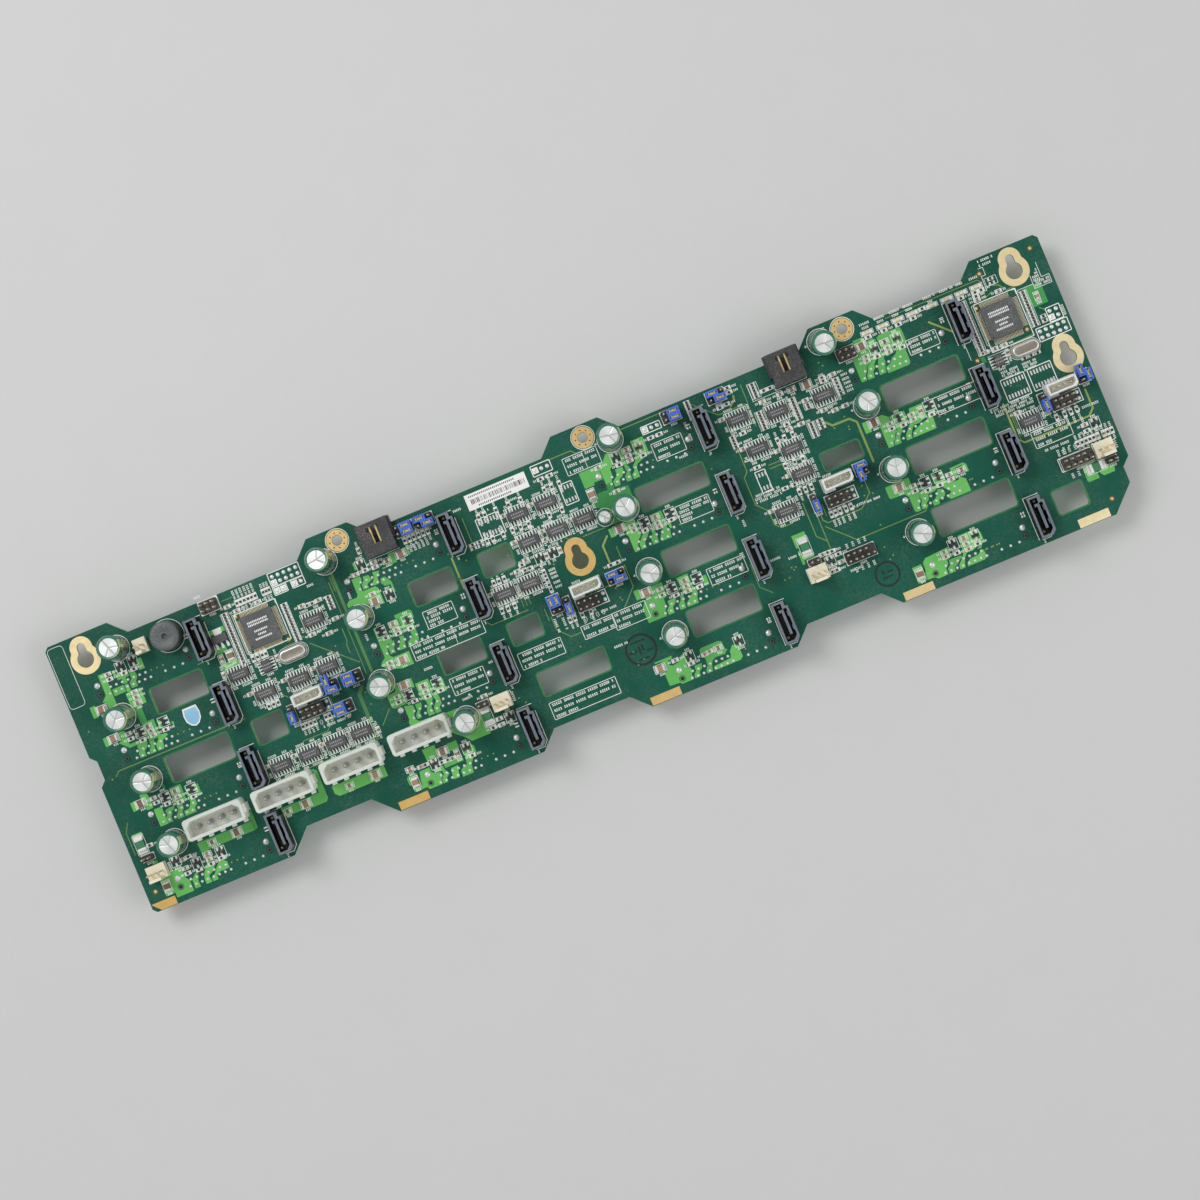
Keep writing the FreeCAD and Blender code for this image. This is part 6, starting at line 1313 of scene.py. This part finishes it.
# Faint marks on the chips' tops, rows of plain bars; a round dent by the first lead
logicTop, controllerTop = top + 1.503, top + 1.405
logicMarks, controllerMarks, dents = [], [], []
for chips, rows, dentX, dentY in ((logicXY, ((-2.4, 7, 0.78, 0.6), (-2.4, 7, 0.78, -0.6)), 3.5, -1.1),
                                  (memoryXY, ((-1.4, 5, 0.75, -0.8), (-1.4, 5, 0.75, 0.5)), 1.6, 1.5)):
    for x, y in chips:
        logicMarks += [(x + start + n * step, y + dy, logicTop)
                       for start, count, step, dy in rows for n in range(count)]
        dents.append((x - dentX, y + dentY, logicTop))
for x, y in controllerXY:
    for dy, start, end in ((3.6, -4.2, 4.2), (2.4, -4.2, 4.2), (-0.4, -2.7, 2.7), (-2.0, -1.6, 1.6), (-3.6, -3.4, 3.4)):
        controllerMarks += [(x + dx, y + dy, controllerTop) for dx in np.arange(start, end, 0.72)]
    dents.append((x - 5.9, y - 5.9, controllerTop))
addPiece("logicMarks", stamp(plate(0.42, 0.62, 0.02, 0.05), logicMarks), mats["marking"])
addPiece("controllerMarks", stamp(plate(0.46, 0.8, 0.02, 0.05), controllerMarks), mats["paper"])
dentShape = lathe([(0.42, 0.0), (0.4, 0.012), (0.28, 0.004)], 16, False)
addPiece("chipDents", stamp(dentShape, dents), mats["header"])

# Contacts of the jumper caps, seen in their slots: header, steps along X and Y, lying along Y
jumpers = """12 -0.5 1 1, 12 0 -0.5 0, 13 -0.5 0.5 0, 13 -0.5 -0.5 0, 14 -0.5 0.5 0, 14 -0.5 -0.5 0, 15 0 -0.5 1,
16 0.5 0.5 0, 16 0.5 -0.5 0, 17 -0.5 0.5 0, 17 0.5 -0.5 0, 18 -0.5 0.5 1, 18 0.5 0.5 1, 19 0 -0.5 1, 20 -0.5 0.5 0,
20 0.5 -0.5 0, 21 0.5 0.5 0, 21 0.5 -0.5 0, 22 -0.5 0.5 0, 22 0.5 -0.5 0, 23 0 0.5 0, 23 -0.5 -1 1, 24 0 -0.5 1,
25 -0.5 1 1, 25 0.5 0 1, 26 0 -0.5 1"""
capSpots, capTurns = [], []
for index, stepX, stepY, upright in places(jumpers):
    x, y = site(*headers[int(index)])
    capSpots.append((x + stepX * pitch, y + stepY * pitch))
    capTurns.append(90.0 * upright)
# A folded strip: two leaves round each pin and a bridge between them, lower in its middle
leaf = softBox(0.95, 0.16, 0.9, 0.05)
leaves = [shifted(leaf, dx, dy, 7.35) for dx in (-pitch / 2, pitch / 2) for dy in (-0.44, 0.44)]
contact = joined(*leaves, shifted(softBox(1.7, 0.9, 0.3, 0.08), z=7.25))
addPiece("jumperContacts", stamp(contact, capSpots, capTurns, height=top), mats["gold"])
# Painted shade: a dark block deep in each cap's slot, under the contacts
slotShade = shifted(softBox(3.86, 1.06, 0.3, 0.04), z=6.9)
addPiece("jumperSlotShade", stamp(slotShade, capSpots, capTurns, height=top), mats["hole"])

# Bronze latches of the data sockets
latchOffsets = ((-0.4, 6.5), (-1.4, -6.2))
latch = joined(*[shifted(dome(0.7, 0.35, 12), dx, dy, 6.6) for dx, dy in latchOffsets])
addPiece("dataLatches", stamp(latch, dataXY, height=top), mats["amber"])

# Round pins of the power sockets: a straight shank, then a long taper to a small blunt end
powerXY = []
for index in range(4):
    low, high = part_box("power_socket_%d" % (index + 1))
    middleX, middleY = (low[0] + high[0]) / 2 / mm - 0.45, (low[1] + high[1]) / 2 / mm + 0.65
    powerXY += [(middleX + (n - 1.5) * 2 * pitch, middleY) for n in range(4)]
powerPin = lathe([(1.05, 3.0), (1.05, 7.4), (0.98, 8.0), (0.62, 9.3), (0.5, 9.62), (0.3, 9.78)])
addPiece("powerPins", stamp(powerPin, powerXY, height=top), mats["powerPin"], smooth=True,
         replaces=["power_pins"])
print("contacts made")

# Hidden side: joints of every part that stands in holes, its lead's end in the middle
throughPins = [canSpots + [[-2.5, 0.0]], canSpots + [[2.5, 0.0]], headerPins, busPins, lockPins]
for x, y, reach in ((*site(*smallCan), 1.25), (buzzerX, buzzerY, 3.25), *[(*spot, 2.44) for spot in crystalSpots]):
    throughPins.append([(x - reach, y), (x + reach, y)])
throughPins += [[(x + (n - 1.5) * pitch, 46.2) for n in range(4)] for x in (-73.31, 102.73)]
thinJoints = dataXY[:, None] + np.column_stack([np.full(7, 0.9), (np.arange(7) - 3) * pitch / 2])[None]
latchJoints = dataXY[:, None] + np.array(latchOffsets)[None]
jointShape = joined(dome(0.85, 0.5, 12), shifted(softBox(0.5, 0.5, 0.75, 0.12), z=0.25))
wideShape = joined(dome(1.75, 0.7, 20), shifted(lathe([(0.85, 0), (0.85, 0.8), (0.6, 1.05)], 16), z=0.2))
thinShape = joined(dome(0.5, 0.35, 10), shifted(softBox(0.3, 0.3, 0.5, 0.08), z=0.15))
hiddenJoints = [stamp(shape, spots) for shape, spots in (
    (jointShape, np.vstack(throughPins)), (wideShape, powerXY), (thinShape, thinJoints.reshape(-1, 2)),
    (dome(0.95, 0.4, 12), latchJoints.reshape(-1, 2)), (dome(0.8, 0.12, 12), roundPads))]
addPiece("hiddenJoints", below(joined(*hiddenJoints)), mats["solder"], smooth=True)

# Copper, vias and white print of the hidden side
bayPour = area([(-12.6, -8.4), (-12.6, -13.5), (-14, -15), (-23, -15), (-23, -8.4)], 0.035)
widePours = outlines("""-150,-28 -150,-24.5 -108,-24.5 -106,-28; -210.6,28 -206,28 -206,2 -210.6,6;
-40,40 -8,40 -8,30 -18,26 -40,26; 60,40 82,40 82,22 70,22 60,30""")
hiddenPours = joined(*[shifted(bayPour, x, y) for x, y in bays if y > -40],
                     *[area(points, 0.035) for points in widePours])
addPiece("hiddenPours", below(hiddenPours), mats["pour"], tone=0.45)
hiddenPaths = [[(x, 44), (x, 2), (x + 3, -1), (x + 3, -46)] for x in (-100.5, -98.7, 8.5, 10.2, 117.8, 119.6)]
for y in (43.5, 20.9, -7.0, -34.9):
    hiddenPaths += [[(-200 + 4 * k, y + 0.9 * k - 0.9), (196 - 3 * k, y + 0.9 * k - 0.9)] for k in range(3)]
for x, y in bays:
    hiddenPaths += [[(x + 24.2, y - 2), (x + 31, y - 2), (x + 33, y - 4)], [(x + 22.6, y - 7), (x + 30, y - 7)]]
shownPaths = []
for path in hiddenPaths:
    # Straight runs are cut where an airflow window or a keyhole lies in their way
    points = np.array(path, float)
    for first, last in zip(points[:-1], points[1:]):
        spacing = np.linspace(0, 1, max(int(np.hypot(*(last - first)) / 0.8), 2))
        line = first + (last - first) * spacing[:, None]
        change = np.flatnonzero(np.diff(np.concatenate([[0], onBoard(line).astype(int), [0]])))
        shownPaths += [[line[start], line[end - 1]] for start, end in zip(change[::2], change[1::2]) if end - start > 2]
addPiece("hiddenTraces", below(strokes(shownPaths, 0.4, lacquerHeight)), mats["trace"], tone=0.3)
looseVias = np.column_stack([rng.uniform(-205, 205, 90), rng.choice([43.5, 20.6, -7.3, -35.2], 90)])
hiddenVias = np.vstack([viaSpots, looseVias])
hiddenVias = stamp(viaShape, hiddenVias[onBoard(hiddenVias)])
addPiece("hiddenVias", below(shifted(hiddenVias, z=printLift)), mats["trace"], tone=0.8)
hiddenPrint = [stamp(ring(5.42, 5.17, printHeight, 40), canSpots)]
for x, y in bays:
    hiddenPrint.append(frame4(x - 21.8, y - 6.9, x + 21.8, y + 1.7, 0.25, printHeight, 0.4))
    label(x - 25.5, y - 2.6, 3, 90, 1.3)
for x, y in powerXY[1::4]:
    hiddenPrint.append(frame4(x - 10.6, y - 4.9, x + 15.8, y + 4.9, 0.25, printHeight, 0.4))
hiddenPrint.append(layMarks())
addPiece("hiddenPrint", below(shifted(joined(*hiddenPrint), z=printLift)), mats["silk"])

# Contacts of the drive sockets: two groups of gold leaves on one wall of the slot
leafX = np.concatenate([-13.6 + pitch / 2 * np.arange(7), -2.9 + pitch / 2 * np.arange(14)])
leafY = -2.6 - 0.72
leaf = loft([[(-0.26, a, h), (0.26, a, h), (0.26, a + 0.16, h), (-0.26, a + 0.16, h)]
             for h, a in ((5.2, 0.0), (6.6, 0.16), (8.2, 0.34), (9.6, 0.1), (10.4, 0.02))])
addPiece("driveContacts", below(stamp(leaf, inBays([(x, leafY) for x in leafX]))), mats["gold"])
print("hidden side made")

# Stage, light and camera
floorMesh = bpy.data.meshes.new("floor")
floorReach = 3
floorZ = -0.0004  # just under the drive sockets' tips
floorMesh.from_pydata([(x * floorReach, y * floorReach, floorZ) for x, y in ((-1, -1), (1, -1), (1, 1), (-1, 1))], [],
                      [(0, 1, 2, 3)])
floorSkin = finish("paleFloor", (206, 207, 206), 0.7, grain=0.02, dust=0.0, bump=0.02)
floorMesh.materials.append(floorSkin)
# Seen from below, the floor is clear, and light from below passes it, so that the hidden side of the board shows
floorTree = floorSkin.node_tree
behind = addNode(floorTree, "NewGeometry").outputs["Backfacing"]
shadowRay = addNode(floorTree, "LightPath").outputs["Is Shadow Ray"]
sides = addNode(floorTree, "MixShader", mathNode(floorTree, "MAXIMUM", behind, shadowRay),
                floorTree.nodes["Principled BSDF"].outputs[0], addNode(floorTree, "BsdfTransparent").outputs[0])
feed(floorTree, floorTree.nodes["Material Output"].inputs[0], sides.outputs[0])
floor = addObject("floor", floorMesh)


def lamp(name, spot, size, power):
    # A round area light that points at the middle of the board
    light = bpy.data.lights.new(name, "AREA")
    light.shape = "DISK"
    light.size = size
    light.energy = power
    lampObject = addObject(name, light)
    lampObject.location = spot
    lampObject.rotation_euler = (-Vector(spot)).to_track_quat("-Z", "Y").to_euler()


lamp("keyLamp", (-0.55, 0.75, 1.25), 0.7, 9.0)
lamp("fillLamp", (0.9, -0.5, 1.1), 0.9, 4.0)
lamp("underLamp", (0.2, -0.4, -1.2), 1.0, 9.0)
world = bpy.data.worlds.new("studio")
world.use_nodes = True
bpy.context.scene.world = world
sky = world.node_tree
back = sky.nodes["Background"].inputs
seen = addNode(sky, "LightPath").outputs["Is Camera Ray"]
feed(sky, back["Color"], (1, 1, 1, 1))
feed(sky, back["Strength"], mathNode(sky, "MULTIPLY_ADD", seen, 0.45, 0.55))

camera = bpy.data.cameras.new("camera")
camera.lens = 74.7
camera.sensor_width = 36
camera.clip_start, camera.clip_end = 0.02, 20
cameraObject = addObject("camera", camera)
# The photograph's view of the board: the camera's axes as columns, then its place
cameraAxes = Matrix(((0.92272, 0.38438, 0.02893), (-0.38463, 0.92307, 0.00314), (-0.02550, -0.01402, 0.99958)))
cameraObject.matrix_world = Matrix.Translation((0.02794, -0.00706, 1.0083)) @ cameraAxes.to_4x4()
bpy.context.scene.camera = cameraObject
bpy.context.scene.view_settings.view_transform = "Standard"

print("scene ready")
